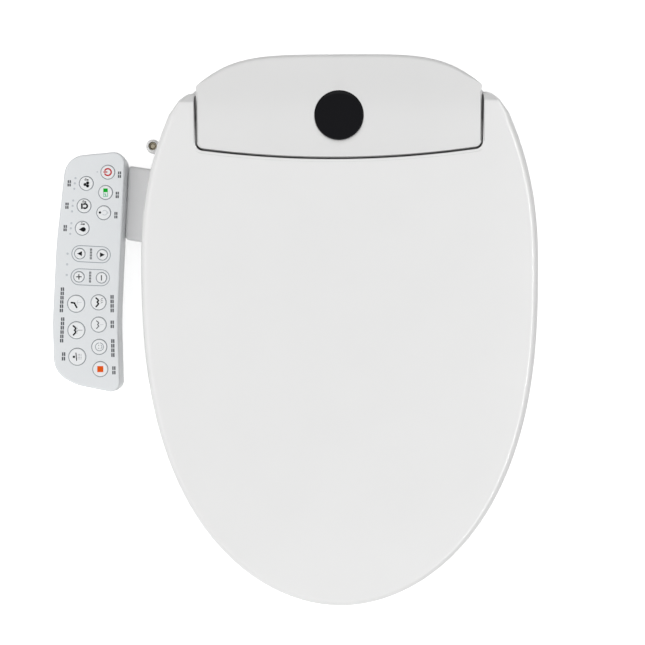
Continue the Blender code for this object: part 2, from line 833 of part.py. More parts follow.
def make_insides():
    """Electrics and water parts inside the housing."""
    heater = bevel(
        box("water_heater", (-112 * MM, -22 * MM, 52 * MM), (-46 * MM, 33 * MM, 75 * MM), "grey_plastic"),
        4 * MM,
    )
    for i, x in enumerate((-100, -58)):
        port = cylinder(
            f"heater_port_{i}",
            (x * MM, -26 * MM, 62 * MM),
            (x * MM, -12 * MM, 62 * MM),
            4 * MM,
            segments=12,
        )
        join(heater, port)

    board = box("power_board", (34 * MM, -28 * MM, 54 * MM), (112 * MM, 36 * MM, 55.6 * MM), "circuit")
    blocks = ((40, -20, 66, 4, 22), (72, -18, 84, -6, 16), (88, -20, 104, 0, 12), (44, 12, 104, 26, 9))
    for i, (x1, y1, x2, y2, height) in enumerate(blocks):
        top = (x2 * MM, y2 * MM, (55.6 + height) * MM)
        join(board, box(f"board_block_{i}", (x1 * MM, y1 * MM, 55 * MM), top))

    valve = box(
        "solenoid_valve", (-152 * MM, -34 * MM, 14 * MM), (-120 * MM, -14 * MM, 30 * MM), "grey_plastic"
    )
    coil = cylinder(
        "valve_coil", (-136 * MM, -24 * MM, 28 * MM), (-136 * MM, -24 * MM, 43 * MM), 8 * MM, segments=16
    )
    spout = cylinder(
        "valve_spout",
        (-122 * MM, -24 * MM, 22 * MM),
        (-114 * MM, -24 * MM, 22 * MM),
        3.5 * MM,
        segments=12,
    )
    join(valve, coil, spout)

    make_supply_hose()

    blower = cylinder(
        "dryer_blower",
        (80 * MM, -6 * MM, 11 * MM),
        (80 * MM, -6 * MM, 38 * MM),
        26 * MM,
        "grey_plastic",
        28,
    )
    duct = box("blower_duct", (66 * MM, -79.6 * MM, 14 * MM), (94 * MM, -16 * MM, 34 * MM))
    hollow = box("duct_hollow", (68.5 * MM, -84 * MM, 16.5 * MM), (91.5 * MM, -40 * MM, 31.5 * MM))
    join(blower, duct)
    cut(blower, hollow)


def make_supply_hose():
    """Water hose from the valve up to the heater's inlet port."""
    route = (
        (-113.6, -24, 22),
        (-108, -24, 22),
        (-102, -29, 27),
        (-100, -37, 38),
        (-100, -38, 52),
        (-100, -36.5, 59),
        (-100, -32, 62),
        (-100, -26.4, 62),
    )
    data = bpy.data.curves.new("supply_hose", "CURVE")
    data.dimensions = "3D"
    data.bevel_depth = 3 * MM
    data.bevel_resolution = 2
    data.use_fill_caps = True
    spline = data.splines.new("POLY")
    spline.points.add(len(route) - 1)
    for point, (x, y, z) in zip(spline.points, route):
        point.co = (x * MM, y * MM, z * MM, 1)
    data.materials.append(material("rubber"))
    PARTS.objects.link(bpy.data.objects.new("supply_hose", data))


def make_small_housing_parts():
    cylinder(
        "night_light",
        (-70 * MM, -88.5 * MM, 24 * MM),
        (-70 * MM, -80 * MM, 24 * MM),
        6 * MM,
        "clear_lens",
        16,
    )

    gland = cylinder(
        "cord_gland", (100 * MM, 40 * MM, 24 * MM), (100 * MM, 51 * MM, 24 * MM), 8 * MM, "rubber"
    )
    gland_bore = cylinder(
        "gland_bore", (100 * MM, 30 * MM, 24 * MM), (100 * MM, 60 * MM, 24 * MM), 3.5 * MM, segments=12
    )
    cut(gland, gland_bore)

    flap_top = (80 * MM, -86.2 * MM, 35 * MM)
    flap_pivot = pivot("flap_pivot", flap_top)
    flap = box("dryer_flap", (-16 * MM, -1 * MM, -22.2 * MM), (16 * MM, 1 * MM, 0.6 * MM), "white_gloss")
    hang(flap, flap_pivot, keep_place=False)

    button_pivot = pivot("release_pivot", (163 * MM, -30 * MM, 24 * MM))
    button = cylinder("release_button", (-10 * MM, 0, 0), (4 * MM, 0, 0), 7 * MM, "white_panel", 20)
    bevel(button, 1 * MM, 1)
    hang(button, button_pivot, keep_place=False)


def make_mounting_plate():
    half_x, half_y, height = PLATE_SIZE[0] / 2, PLATE_SIZE[1] / 2, PLATE_SIZE[2]
    mounting = box("mounting_plate", (-half_x, -half_y, 0), (half_x, half_y, height), "grey_plastic")
    for side, name in ((1, "right"), (-1, "left")):
        long_half, wide_half = BOLT_SLOT[0] / 2, BOLT_SLOT[1] / 2
        slot = rounded(
            [
                (side * BOLT_X - long_half, -wide_half, wide_half * 0.98),
                (side * BOLT_X + long_half, -wide_half, wide_half * 0.98),
                (side * BOLT_X + long_half, wide_half, wide_half * 0.98),
                (side * BOLT_X - long_half, wide_half, wide_half * 0.98),
            ]
        )
        well = rounded(
            [
                (side * BOLT_X - 24 * MM, -16 * MM, 4 * MM),
                (side * BOLT_X + 24 * MM, -16 * MM, 4 * MM),
                (side * BOLT_X + 24 * MM, 16 * MM, 4 * MM),
                (side * BOLT_X - 24 * MM, 16 * MM, 4 * MM),
            ]
        )
        cut(
            mounting,
            plate("bolt_slot_" + name, slot, -3 * MM, 10 * MM),
            plate("bolt_well_" + name, well, 3 * MM, 10 * MM),
        )


def make_inlet():
    """Water inlet: a white elbow with a knurled collar, and a brass nipple inside it."""

    def upright(name, low, high, radius, finish=None, segments=20):
        return cylinder(
            name, (INLET_X, INLET_Y, low), (INLET_X, INLET_Y, high), radius, finish, segments
        )

    elbow = upright("inlet_elbow", 27 * MM, INLET_TOP, 5.6 * MM, "white_gloss")
    pipe_end = (-152.6 * MM, INLET_Y, 34 * MM)
    pipe = cylinder("inlet_pipe", (INLET_X, INLET_Y, 34 * MM), pipe_end, 5.6 * MM)
    collar = upright(
        "inlet_collar", INLET_TOP - 12 * MM, INLET_TOP - 1 * MM, 7 * MM, segments=24
    )
    join(elbow, pipe, collar)
    cut(elbow, upright("inlet_bore", 38 * MM, 70 * MM, 4.2 * MM))
    nipple = upright("inlet_nipple", 38.4 * MM, INLET_TOP - 2.5 * MM, 3.8 * MM, "brass", 16)
    cut(nipple, upright("nipple_bore", 30 * MM, 70 * MM, 2.8 * MM, segments=16))


# ---------------------------------------------------------------- nozzles


def tooth_line(count, pitch, root, tip, start):
    """The (y, z) corners of rack teeth that point down, from the front to the rear."""
    points = []
    for k in range(count):
        centre = start + k * pitch
        points += [
            (centre - 0.85 * MM, root),
            (centre - 0.35 * MM, tip),
            (centre + 0.35 * MM, tip),
            (centre + 0.85 * MM, root),
        ]
    return points


def make_nozzle(name, x, frame):
    """Wash nozzle with a rounded tip and a rack along its underside."""
    tip_profile = ((NOZZLE_RADIUS, 3.6 * MM), (5.6 * MM, 1.2 * MM), (3.5 * MM, 0), (0, 0))
    profile = ((0, NOZZLE_LENGTH), (NOZZLE_RADIUS, NOZZLE_LENGTH), *tip_profile)
    nozzle = turned(name, profile, "white_gloss")
    nozzle.rotation_euler.x = math.radians(-90)
    nozzle.location = (x, NOZZLE_REST, 0)
    hang(nozzle, frame, keep_place=False)
    pitch = math.pi * GEAR_MODULE
    root, tip = RACK_PITCH_LINE + 1.1 * MM, RACK_PITCH_LINE - 0.9 * MM
    teeth = tooth_line(29, pitch, root, tip, PINION_AT - pitch)
    front, rear = teeth[0][0] - 1 * MM, teeth[-1][0] + 1 * MM
    strip = [(front, -5.5 * MM), (front, root), *teeth, (rear, root), (rear, -5.5 * MM)]
    rack = side_profile(name + "_rack", strip, x - 2 * MM, x + 2 * MM)
    jet_y = NOZZLE_REST + 8 * MM
    jet = cylinder(name + "_jet", (x, jet_y, 3 * MM), (x, jet_y, 9 * MM), 1.4 * MM, segments=8)
    for tool in (rack, jet):
        hang(tool, frame, keep_place=False)
    join(nozzle, rack)
    cut(nozzle, jet)


def make_pinion(name, x, frame):
    """Drive pinion, with a tooth gap turned to the rack."""
    radii = ((0.30, -1.15), (0.105, 0.85), (-0.105, 0.85), (-0.30, -1.15))
    outline = []
    pitch_radius = GEAR_MODULE * PINION_TEETH / 2
    for k in range(PINION_TEETH):
        middle = math.radians(90) + math.tau * (k + 0.5) / PINION_TEETH
        for offset, rise in reversed(radii):
            angle, radius = middle + offset * 0.5, pitch_radius + rise * MM
            outline.append((radius * math.cos(angle), radius * math.sin(angle)))
    pinion = side_profile(name, outline, -3 * MM, 3 * MM, "grey_plastic")
    cut_bore = cylinder(name + "_bore", (-5 * MM, 0, 0), (5 * MM, 0, 0), 2 * MM, segments=12)
    hang(cut_bore, pinion, keep_place=False)
    cut(pinion, cut_bore)
    pinion.location = (x, PINION_AT, RACK_PITCH_LINE - pitch_radius)
    return hang(pinion, frame, keep_place=False)


def make_motor(name, side, frame):
    """Stepper motor beside a pinion, its shaft inside the pinion's bore."""
    centre = (PINION_AT, RACK_PITCH_LINE - GEAR_MODULE * PINION_TEETH / 2)
    start, end = side * 27 * MM, side * 45 * MM
    motor = cylinder(name, (start, *centre), (end, *centre), 10 * MM, "steel", 20)
    shaft = cylinder(
        name + "_shaft",
        (side * (NOZZLE_X - 2.5 * MM), *centre),
        (side * 30 * MM, *centre),
        1.6 * MM,
        segments=12,
    )
    hang(shaft, motor, keep_place=False)
    join(motor, shaft)
    return hang(motor, frame, keep_place=False)


def make_cradle(frame):
    """Guide block for both nozzles, with slots for the racks and pinions, and the guard in front."""
    cradle = box(
        "nozzle_cradle", (-21 * MM, 9 * MM, -11 * MM), (21 * MM, 104 * MM, 9.5 * MM), "grey_plastic"
    )
    hang(cradle, frame, keep_place=False)
    guard = box("nozzle_guard", (-22 * MM, 1 * MM, -11 * MM), (22 * MM, 3 * MM, 11 * MM), "white_gloss")
    hang(guard, frame, keep_place=False)
    for side, name in ((-1, "rear"), (1, "front")):
        x = side * NOZZLE_X
        bore = cylinder(
            name + "_guide", (x, -10 * MM, 0), (x, 120 * MM, 0), NOZZLE_RADIUS + 0.6 * MM
        )
        slot = box(name + "_slot", (x - 2.8 * MM, 0, -15 * MM), (x + 2.8 * MM, 120 * MM, -2 * MM))
        gear_room = box(
            name + "_gear_room",
            (x - 4.2 * MM, PINION_AT - 9 * MM, -15 * MM),
            (x + 4.2 * MM, PINION_AT + 9 * MM, -5 * MM),
        )
        for tool in (bore, slot, gear_room):
            hang(tool, frame, keep_place=False)
        cut(cradle, bore, slot, gear_room)
        cut(guard, bore, slot)


def make_nozzles(frame):
    make_cradle(frame)
    for side, name in ((-1, "rear"), (1, "front")):
        make_nozzle(name + "_nozzle", side * NOZZLE_X, frame)
        make_pinion(name + "_pinion", side * NOZZLE_X, frame)
        make_motor(name + "_nozzle_motor", side, frame)


# ---------------------------------------------------------------- control panel


def panel_spine(y):
    """The gentle bend that the key columns follow."""
    return -246 * MM + 0.46 * (y + 189 * MM) ** 2


def key_places():
    """Every key as (name, x, y, radius): columns of keys at an even pitch along the panel."""
    columns = (
        (("power", "eco", "light"), 11.6, -50.7, -19.8, 6.5),
        (("air_heat", "seat_heat", "water_heat"), -8.2, -61.5, -21.9, 6.5),
        (("nozzle_forward", "pressure_up"), -9.1, -130.1, -22.65, 4.85),
        (("nozzle_back", "pressure_down"), 12.9, -131.4, -22.45, 4.85),
        (("front_wash", "rear_wash", "self_clean"), -11.5, -179.0, -25.9, 8.05),
        (("dry", "massage", "child", "stop"), 10.4, -177.8, -21.75, 7.1),
    )
    for names, across, first, pitch, radius in columns:
        for k, name in enumerate(names):
            y = (first + pitch * k) * MM
            yield name, panel_spine(y) + across * MM, y, radius * MM


def make_panel():
    outline = panel_outline()
    bm = bmesh.new()
    edge = 3.5 * MM
    rings = edge_rings(outline, [edge] * len(outline), lambda x, y: PANEL_TOP, 2)
    made = [ring_of(bm, outline, PANEL_SEAM + 0.4 * MM)] + [ring_of(bm, o, z) for o, z in rings]
    skin(bm, made)
    bm.faces.new(made[-1])
    cover = solidify(add_object("panel_cover", bm, "white_panel"), PANEL_WALL)

    bm = bmesh.new()
    floor = ring_of(bm, inset(outline, 6 * MM), PANEL_FLOOR)
    lower = ring_of(bm, inset(outline, 0.8 * MM), PANEL_FLOOR + 5 * MM)
    skin(bm, [floor, lower, ring_of(bm, outline, PANEL_SEAM)])
    bm.faces.new(list(reversed(floor)))
    tray = solidify(add_object("panel_base", bm, "white_panel"), PANEL_WALL)
    arm_hole_high = (-205 * MM, -64.5 * MM, 41 * MM)
    cut(tray, box("panel_arm_hole", (-225 * MM, -105.5 * MM, 31 * MM), arm_hole_high))

    for name, x, y, radius in key_places():
        cut(
            cover,
            cylinder("hole_" + name, (x, y, 60 * MM), (x, y, 75 * MM), radius + GAP, segments=16),
        )
        key = cylinder(
            "key_" + name, (0, 0, KEY_PROUD - KEY_HEIGHT), (0, 0, KEY_PROUD), radius, "key_cap", 16
        )
        key.location = (x, y, PANEL_TOP)
    plate("panel_board", inset(outline, 6 * MM), 62.8 * MM, 64.4 * MM, "circuit")


def make_arm():
    """Hollow arm that carries the panel on the base and lets its cable through."""
    corners = (
        (-208.5, -41.6),
        (-212.6, -114.8),
        (-181.6, -120.0),
        (-178.6, -95.0),
        (-173.8, -70.0),
        (-169.4, -47.8),
    )
    outline = [Vector((x * MM, y * MM)) for x, y in corners]
    arm = plate("side_arm", outline, 28 * MM, ARM_TOP, "white_panel")
    bevel(arm, 3.2 * MM, 2, angle=60)
    tongue = box("arm_tongue", (-222 * MM, -105 * MM, 31.6 * MM), (-163 * MM, -65 * MM, 40.4 * MM))
    channel = box("arm_channel", (-240 * MM, -102 * MM, 34 * MM), (-150 * MM, -68 * MM, 38 * MM))
    join(arm, tongue)
    cut(arm, channel)


def build():
    nozzle_frame = pivot("nozzle_frame", NOZZLE_EXIT, NOZZLE_TILT)
    seat_body = pivot("seat_pivot", (0, 0, HINGE_Z))
    lid_body = pivot("lid_pivot", (0, 0, HINGE_Z))
    make_base()
    make_deck()
    make_cover()
    make_dampers()
    make_insides()
    make_small_housing_parts()
    make_mounting_plate()
    make_inlet()
    make_nozzles(nozzle_frame)
    make_arm()
    make_panel()
    make_seat(seat_body)
    make_lid(lid_body)


build()
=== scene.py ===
import json
import math

import bmesh
import bpy
from mathutils import Matrix, Vector


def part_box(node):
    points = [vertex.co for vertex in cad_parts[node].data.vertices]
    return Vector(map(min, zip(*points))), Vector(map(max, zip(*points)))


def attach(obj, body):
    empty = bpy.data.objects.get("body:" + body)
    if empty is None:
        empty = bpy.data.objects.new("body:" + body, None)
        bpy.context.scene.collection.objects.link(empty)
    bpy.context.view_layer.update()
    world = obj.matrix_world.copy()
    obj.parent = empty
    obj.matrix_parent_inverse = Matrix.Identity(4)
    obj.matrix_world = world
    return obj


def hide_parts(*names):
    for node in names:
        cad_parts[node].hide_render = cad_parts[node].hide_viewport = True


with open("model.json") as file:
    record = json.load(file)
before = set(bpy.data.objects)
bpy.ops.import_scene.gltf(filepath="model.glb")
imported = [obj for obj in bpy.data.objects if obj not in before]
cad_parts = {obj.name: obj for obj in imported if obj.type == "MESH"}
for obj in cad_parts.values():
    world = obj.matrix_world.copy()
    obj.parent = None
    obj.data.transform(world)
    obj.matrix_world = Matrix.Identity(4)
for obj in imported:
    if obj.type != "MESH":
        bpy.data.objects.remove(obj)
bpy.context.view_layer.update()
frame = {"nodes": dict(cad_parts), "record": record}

# Electric bidet seat seen from straight above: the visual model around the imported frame.
# Millimetre figures are turned into metres with MM. +Y is the rear, -X the panel's side.
MM = 0.001

LID_HALF_WIDTH = 190.5 * MM
LID_WIDEST_Y = -155 * MM
LID_FRONT_Y = -477.2 * MM
LID_REAR_Y = 20 * MM
LID_REAR_DROP = 39.5 * MM
EAR_CORNERS = ((151.8 * MM, 11.6 * MM, 24 * MM), (144.2 * MM, 19.2 * MM, 12 * MM))
NOTCH_HALF_WIDTH = 136.2 * MM
NOTCH_FRONT_Y = -44.3 * MM
NOTCH_BOW = 8.6 * MM
NOTCH_BOW_AT = 128 * MM
LID_TOP = 122.6 * MM
LID_SLOPE = 0.085
LID_SAG = 0.065
LID_CROWN = 4 * MM
LID_WALL = 2.6 * MM
LID_EDGE = 7 * MM
NOTCH_EDGE = 0.8 * MM
LID_SKIRT = 14 * MM
EAR_BREAK_Y = 10.5 * MM
EAR_SLOPE = 1.25
HINGE_Z = 92 * MM
SHAFT_BORE = 5.4 * MM
HUB_RADIUS = 9.5 * MM
LID_BOSS = (147.2 * MM, 154.0 * MM)
SEAT_LUG = (137.6 * MM, 146.0 * MM)
LUG_RADIUS = 12.4 * MM

SEAT_INSET = 5 * MM
SEAT_DROP = 17 * MM
SEAT_REAR_Y = -57 * MM
SEAT_WALL = 3 * MM
SEAT_EDGE = 7 * MM
SEAT_DISH = 5.5 * MM
HOLE_HALF_WIDTH = 105 * MM
HOLE_CENTRE_Y = -238 * MM
HOLE_FRONT = 160 * MM
HOLE_REAR = 102 * MM
SEAT_FRONT_FLOOR = 11 * MM
SEAT_REAR_FLOOR = 52 * MM

COVER_HALF_WIDTH = 135.1 * MM
COVER_FRONT_Y = -42.2 * MM
COVER_REAR_Y = 55.2 * MM
COVER_LIP = 135.6 * MM
COVER_TOP = 124.25 * MM
COVER_WALL = 2.8 * MM
COVER_FLOOR = 50.2 * MM
WINDOW_RADIUS = 23.2 * MM
WINDOW_Y = -3.4 * MM
BASE_INSET = 10 * MM
BASE_HEIGHT = 46 * MM
BASE_WALL = 3 * MM
BASE_ROUND = 3.2 * MM
WING_FRONT_Y = -122 * MM
DECK_TOP = 49.8 * MM

PANEL_TOP = 70 * MM
PANEL_SEAM = 48 * MM
PANEL_FLOOR = 25 * MM
PANEL_WALL = 2.4 * MM
ARM_TOP = 44.5 * MM
KEY_TOP = 70.6 * MM
KEY_FACE = KEY_TOP - 0.03 * MM  # the slightly sunk middle of a key
KEY_BOTTOM = 67.2 * MM
INK = 0.07 * MM  # thickness of printed marks
# Painted shade reaches this far: gaps narrower than it are painted darker in the white plastics.
PAINTED_SHADE_REACH = 5 * MM  # width of the gaps that look dark

INLET_X = -183 * MM
INLET_Y = -24 * MM
INLET_TOP = 58 * MM
INLET_PIPE_Z = 34 * MM

CAMERA_PLACE = (-16.9 * MM, -199 * MM, 1.6)  # straight above, looking down
CAMERA_TURN = -0.0068
CAMERA_LENS = 87.4


# ---------------------------------------------------------------- materials


def node(tree, kind, **settings):
    made = tree.nodes.new(kind)
    for key, value in settings.items():
        setattr(made, key, value)
    return made


def noise(tree, coords, scale, detail=3.0):
    made = node(tree, "ShaderNodeTexNoise")
    made.inputs["Scale"].default_value = scale
    made.inputs["Detail"].default_value = detail
    tree.links.new(coords, made.inputs["Vector"])
    return made.outputs["Fac"]


def spread(tree, value, low, high, from_low=0.3, from_high=0.7):
    """Maps a noise value to a range."""
    made = node(tree, "ShaderNodeMapRange")
    for key, number in (
        ("From Min", from_low), ("From Max", from_high), ("To Min", low), ("To Max", high),
    ):
        made.inputs[key].default_value = number
    tree.links.new(value, made.inputs["Value"])
    return made.outputs["Result"]


def mix(tree, factor, first, second):
    """A colour between two, each a colour value or a socket."""
    made = node(tree, "ShaderNodeMix", data_type="RGBA")
    tree.links.new(factor, made.inputs["Factor"])
    for socket, colour in ((made.inputs[6], first), (made.inputs[7], second)):
        if isinstance(colour, bpy.types.NodeSocket):
            tree.links.new(colour, socket)
        else:
            socket.default_value = (*colour, 1)
    return made.outputs[2]


def surface(name, colour, roughness, mottle=0.02, grain=1400, bump=0.05, depth=0.00002,
            metallic=0.0, coat=0.0, edge=0.0, clouds=18, shade=0.0, shine=0.5):
    """Moulded or printed surface: slight clouds of colour and gloss, fine grain, worn edges.

    With shade, deep crevices are painted darker by that share: painted shade, read from an ambient-occlusion
    lookup.
    """
    made = bpy.data.materials.new(name)
    made.use_nodes = True
    tree = made.node_tree
    shader = tree.nodes["Principled BSDF"]
    coords = node(tree, "ShaderNodeTexCoord").outputs["Object"]
    darker = tuple(c * (1 - mottle) for c in colour)
    lighter = tuple(min(1.0, c * (1 + mottle * 0.5)) for c in colour)
    tint = mix(tree, spread(tree, noise(tree, coords, clouds), 0, 1), darker, lighter)
    gloss = spread(tree, noise(tree, coords, clouds * 6), roughness * 0.95, roughness * 1.05)
    if edge:
        rim = node(tree, "ShaderNodeNewGeometry").outputs["Pointiness"]
        worn = spread(tree, rim, 0, edge, 0.52, 0.62)
        tint = mix(tree, worn, tint, tuple(c * 0.95 for c in colour))
    # Painted shade: the colour goes towards near black where ambient occlusion finds surfaces close by, as in
    # gaps and crevices.
    if shade:
        open_sky_for_painted_shade = node(tree, "ShaderNodeAmbientOcclusion", samples=8)
        open_sky_for_painted_shade.inputs["Distance"].default_value = PAINTED_SHADE_REACH
        dark = spread(tree, open_sky_for_painted_shade.outputs["AO"], shade, 0, 0.3, 0.92)
        tint = mix(tree, dark, tint, tuple(c * 0.05 for c in colour))
    tree.links.new(tint, shader.inputs["Base Color"])
    tree.links.new(gloss, shader.inputs["Roughness"])
    shader.inputs["Metallic"].default_value = metallic
    shader.inputs["Specular IOR Level"].default_value = shine
    shader.inputs["Coat Weight"].default_value = coat
    shader.inputs["Coat Roughness"].default_value = 0.08
    relief = node(tree, "ShaderNodeBump")
    relief.inputs["Strength"].default_value = bump
    relief.inputs["Distance"].default_value = depth
    tree.links.new(noise(tree, coords, grain, 2.0), relief.inputs["Height"])
    tree.links.new(relief.outputs["Normal"], shader.inputs["Normal"])
    return made


# These two white plastics carry painted shade in their narrow gaps and crevices.
WHITE = surface("white_gloss_plastic", (0.80, 0.80, 0.797), 0.30, 0.008, edge=0.4, coat=0.25, shade=0.9)
COVER_WHITE = surface(
    "white_cover_plastic", (0.75, 0.75, 0.747), 0.30, 0.008, edge=0.4, coat=0.25, shade=0.9,
)
SEAT_WHITE = surface("white_seat_plastic", (0.82, 0.82, 0.815), 0.22, 0.012, edge=0.4, coat=0.35)
PANEL_WHITE = surface(
    "cool_white_plastic", (0.745, 0.765, 0.78), 0.38, 0.01, grain=2600, bump=0.12, edge=0.3,
)
# Arm plastic: a neutral white, made lighter than the panel plastic as painted light for the light that the gap
# between panel and lid keeps off the arm.
ARM_WHITE_PAINTED_LIGHT = surface("arm_plastic_painted_light", (0.87, 0.87, 0.875), 0.4, 0.01, grain=2600, bump=0.12, edge=0.3)
KEY_WHITE = surface("key_plastic", (0.80, 0.815, 0.825), 0.42, 0.015, grain=3000, bump=0.15)
BLACK_GLASS = surface("smoked_window", (0.0035, 0.0035, 0.005), 0.08, 0.2, bump=0.01, shine=0.32)
GREY_PLASTIC = surface("grey_plastic", (0.30, 0.31, 0.32), 0.5, 0.06, grain=1800, bump=0.2, edge=0.6)
DARK_PLASTIC = surface("dark_plastic", (0.045, 0.046, 0.05), 0.45, 0.1, grain=1800, bump=0.2)
RUBBER = surface("grey_rubber", (0.42, 0.42, 0.41), 0.75, 0.06, grain=1600, bump=0.25)
STEEL = surface("brushed_steel", (0.56, 0.56, 0.57), 0.32, 0.08, grain=900, bump=0.1, metallic=1.0)
BRASS = surface("machined_brass", (0.62, 0.56, 0.43), 0.45, 0.08, grain=900, bump=0.1, metallic=0.6)
CIRCUIT = surface("circuit_board", (0.02, 0.16, 0.06), 0.45, 0.25, clouds=160, bump=0.1)
FOIL = surface("heating_foil", (0.60, 0.40, 0.28), 0.4, 0.12, clouds=90, bump=0.2, metallic=0.7)
LENS = surface("pale_lens", (0.70, 0.80, 0.88), 0.12, 0.03, coat=1.0)


def ink(name, colour, mottle):
    """A printed colour: matt, with hardly any reflection."""
    return surface("ink_" + name, colour, 0.5, mottle, grain=2600, bump=0.1, shine=0.1)


INK_BLACK = ink("black", (0.010, 0.010, 0.012), 0.2)
INK_GREY = ink("grey", (0.30, 0.33, 0.36), 0.05)
INK_DARK = ink("dark_grey", (0.085, 0.09, 0.10), 0.1)
INK_PALE = ink("pale_grey", (0.54, 0.57, 0.60), 0.04)
INK_RED = ink("red", (0.56, 0.012, 0.02), 0.08)
INK_GREEN = ink("green", (0.0, 0.42, 0.02), 0.08)
INK_PALE_GREEN = ink("pale_green", (0.24, 0.56, 0.38), 0.08)
INK_ORANGE = ink("orange", (0.74, 0.085, 0.0), 0.06)

SLOT_FINISH = {
    "white_gloss": WHITE, "white_panel": PANEL_WHITE, "key_cap": KEY_WHITE,
    "black_gloss": BLACK_GLASS, "grey_plastic": GREY_PLASTIC, "rubber": RUBBER,
    "steel": STEEL, "brass": BRASS, "circuit": CIRCUIT, "heating_foil": FOIL, "clear_lens": LENS,
}


# ---------------------------------------------------------------- pieces


def piece(name, bm, finish, body=None, stands_for=(), sharp=38):
    """An object from a bmesh; with a body it is a finished piece that rides on it."""
    mesh = bpy.data.meshes.new(name)
    bm.to_mesh(mesh)
    bm.free()
    obj = bpy.data.objects.new(name, mesh)
    bpy.context.scene.collection.objects.link(obj)
    mesh.materials.append(finish)
    mesh.shade_smooth()
    mesh.set_sharp_from_angle(angle=math.radians(sharp))
    if body:
        settle(obj, body, stands_for)
    return obj


def settle(obj, body, stands_for=()):
    if stands_for:
        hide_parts(*stands_for)
    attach(obj, body)
    return obj


def tool(name, bm):
    """A cutter or an addition for a boolean."""
    return piece(name, bm, DARK_PLASTIC)


def bake(obj, tools=(), sharp=38):
    """Applies an object's modifiers and removes the tools that they used."""
    bpy.context.view_layer.update()
    graph = bpy.context.evaluated_depsgraph_get()
    mesh = bpy.data.meshes.new_from_object(obj.evaluated_get(graph))
    obj.modifiers.clear()
    obj.data = mesh
    mesh.shade_smooth()
    mesh.set_sharp_from_angle(angle=math.radians(sharp))
    for used in tools:
        bpy.data.objects.remove(used)
    return obj


def boolean(obj, operation, *tools):
    for other in tools:
        modifier = obj.modifiers.new(operation, "BOOLEAN")
        modifier.operation = operation
        modifier.object = other
    return obj


def solidify(obj, thickness):
    modifier = obj.modifiers.new("Wall", "SOLIDIFY")
    modifier.thickness = thickness
    modifier.offset = -1
    modifier.use_even_offset = True
    return obj


def bevel(obj, width, segments=3, angle=55):
    modifier = obj.modifiers.new("Bevel", "BEVEL")
    modifier.width = width
    modifier.segments = segments
    modifier.limit_method = "ANGLE"
    modifier.angle_limit = math.radians(angle)
    modifier.harden_normals = False
    return obj


# ---------------------------------------------------------------- shapes


def smoothstep(low, high, value):
    t = min(max((value - low) / (high - low), 0.0), 1.0)
    return t * t * (3 - 2 * t)


def soft_ramp(value, width):
    """Near zero below 0 and near the value above it, with a soft bend in between."""
    return 0.5 * (value + math.sqrt(value * value + width * width))


def box(low, high):
    bm = bmesh.new()
    low, high = Vector(low), Vector(high)
    bmesh.ops.create_cube(bm, size=1)
    for vert in bm.verts:
        vert.co = (low + high) / 2 + Vector(o * s for o, s in zip(vert.co, high - low))
    return bm


def cylinder(start, end, radius, segments=48, end_radius=None):
    start, end = Vector(start), Vector(end)
    along = end - start
    bm = bmesh.new()
    bmesh.ops.create_cone(
        bm, cap_ends=True, segments=segments, radius1=radius,
        radius2=radius if end_radius is None else end_radius, depth=along.length,
        matrix=Matrix.Translation((start + end) / 2) @ along.to_track_quat("Z", "Y").to_matrix().to_4x4(),
    )
    return bm


def lathe(profile, place, along=(0, 0, 1), segments=64):
    """Turns a (radius, height) profile round an axis through place; radius 0 closes an end."""
    bm = bmesh.new()
    turn = Vector(along).to_track_quat("Z", "Y").to_matrix().to_4x4()
    rings = []
    for radius, height in profile:
        if radius == 0:
            rings.append([bm.verts.new((0, 0, height))])
            continue
        angles = (math.tau * k / segments for k in range(segments))
        rings.append([bm.verts.new((radius * math.cos(a), radius * math.sin(a), height)) for a in angles])
    for lower, upper in zip(rings, rings[1:]):
        for i in range(segments):
            j = (i + 1) % segments
            corners = [
                lower[i % len(lower)], lower[j % len(lower)], upper[j % len(upper)], upper[i % len(upper)],
            ]
            bm.faces.new(list(dict.fromkeys(corners)))
    for ring, flip in ((rings[0], True), (rings[-1], False)):
        if len(ring) > 1:
            bm.faces.new(ring[::-1] if flip else ring)
    bmesh.ops.recalc_face_normals(bm, faces=bm.faces)
    bmesh.ops.transform(bm, matrix=Matrix.Translation(place) @ turn, verts=bm.verts)
    return bm


def rounded(corners, step=math.radians(7)):
    """A closed outline through corners (x, y, radius), each radius above zero drawn as an arc."""
    points = []
    for i, (x, y, radius) in enumerate(corners):
        here = Vector((x, y))
        if radius == 0:
            points.append(here)
            continue
        back = (Vector(corners[i - 1][:2]) - here).normalized()
        ahead = (Vector(corners[(i + 1) % len(corners)][:2]) - here).normalized()
        half = back.angle(ahead) / 2
        centre = here + (back + ahead).normalized() * radius / math.sin(half)
        reach = radius / math.tan(half)
        first = here + back * reach - centre
        last = here + ahead * reach - centre
        turn = math.atan2(first.cross(last), first.dot(last))
        steps = max(2, math.ceil(abs(turn) / step))
        for k in range(steps + 1):
            points.append(centre + Matrix.Rotation(turn * k / steps, 2) @ first)
    return points


def mirrored(half):
    return half + [Vector((-p.x, p.y)) for p in reversed(half[1:-1])]


def inset(outline, distance):
    """The outline moved inwards; distance is one number or one per point."""
    moved = []
    for i, point in enumerate(outline):
        before = (point - outline[i - 1]).normalized()
        after = (outline[(i + 1) % len(outline)] - point).normalized()
        normal_1 = Vector((-before.y, before.x))
        normal_2 = Vector((-after.y, after.x))
        step = distance if isinstance(distance, float) else distance[i]
        moved.append(point + (normal_1 + normal_2) / (1 + normal_1.dot(normal_2)) * step)
    return moved


def ring_of(bm, outline, heights):
    if isinstance(heights, (int, float)):
        heights = [heights] * len(outline)
    return [bm.verts.new((p.x, p.y, z)) for p, z in zip(outline, heights)]


def skin(bm, rings):
    for lower, upper in zip(rings, rings[1:]):
        for i in range(len(lower)):
            j = (i + 1) % len(lower)
            bm.faces.new((lower[i], lower[j], upper[j], upper[i]))


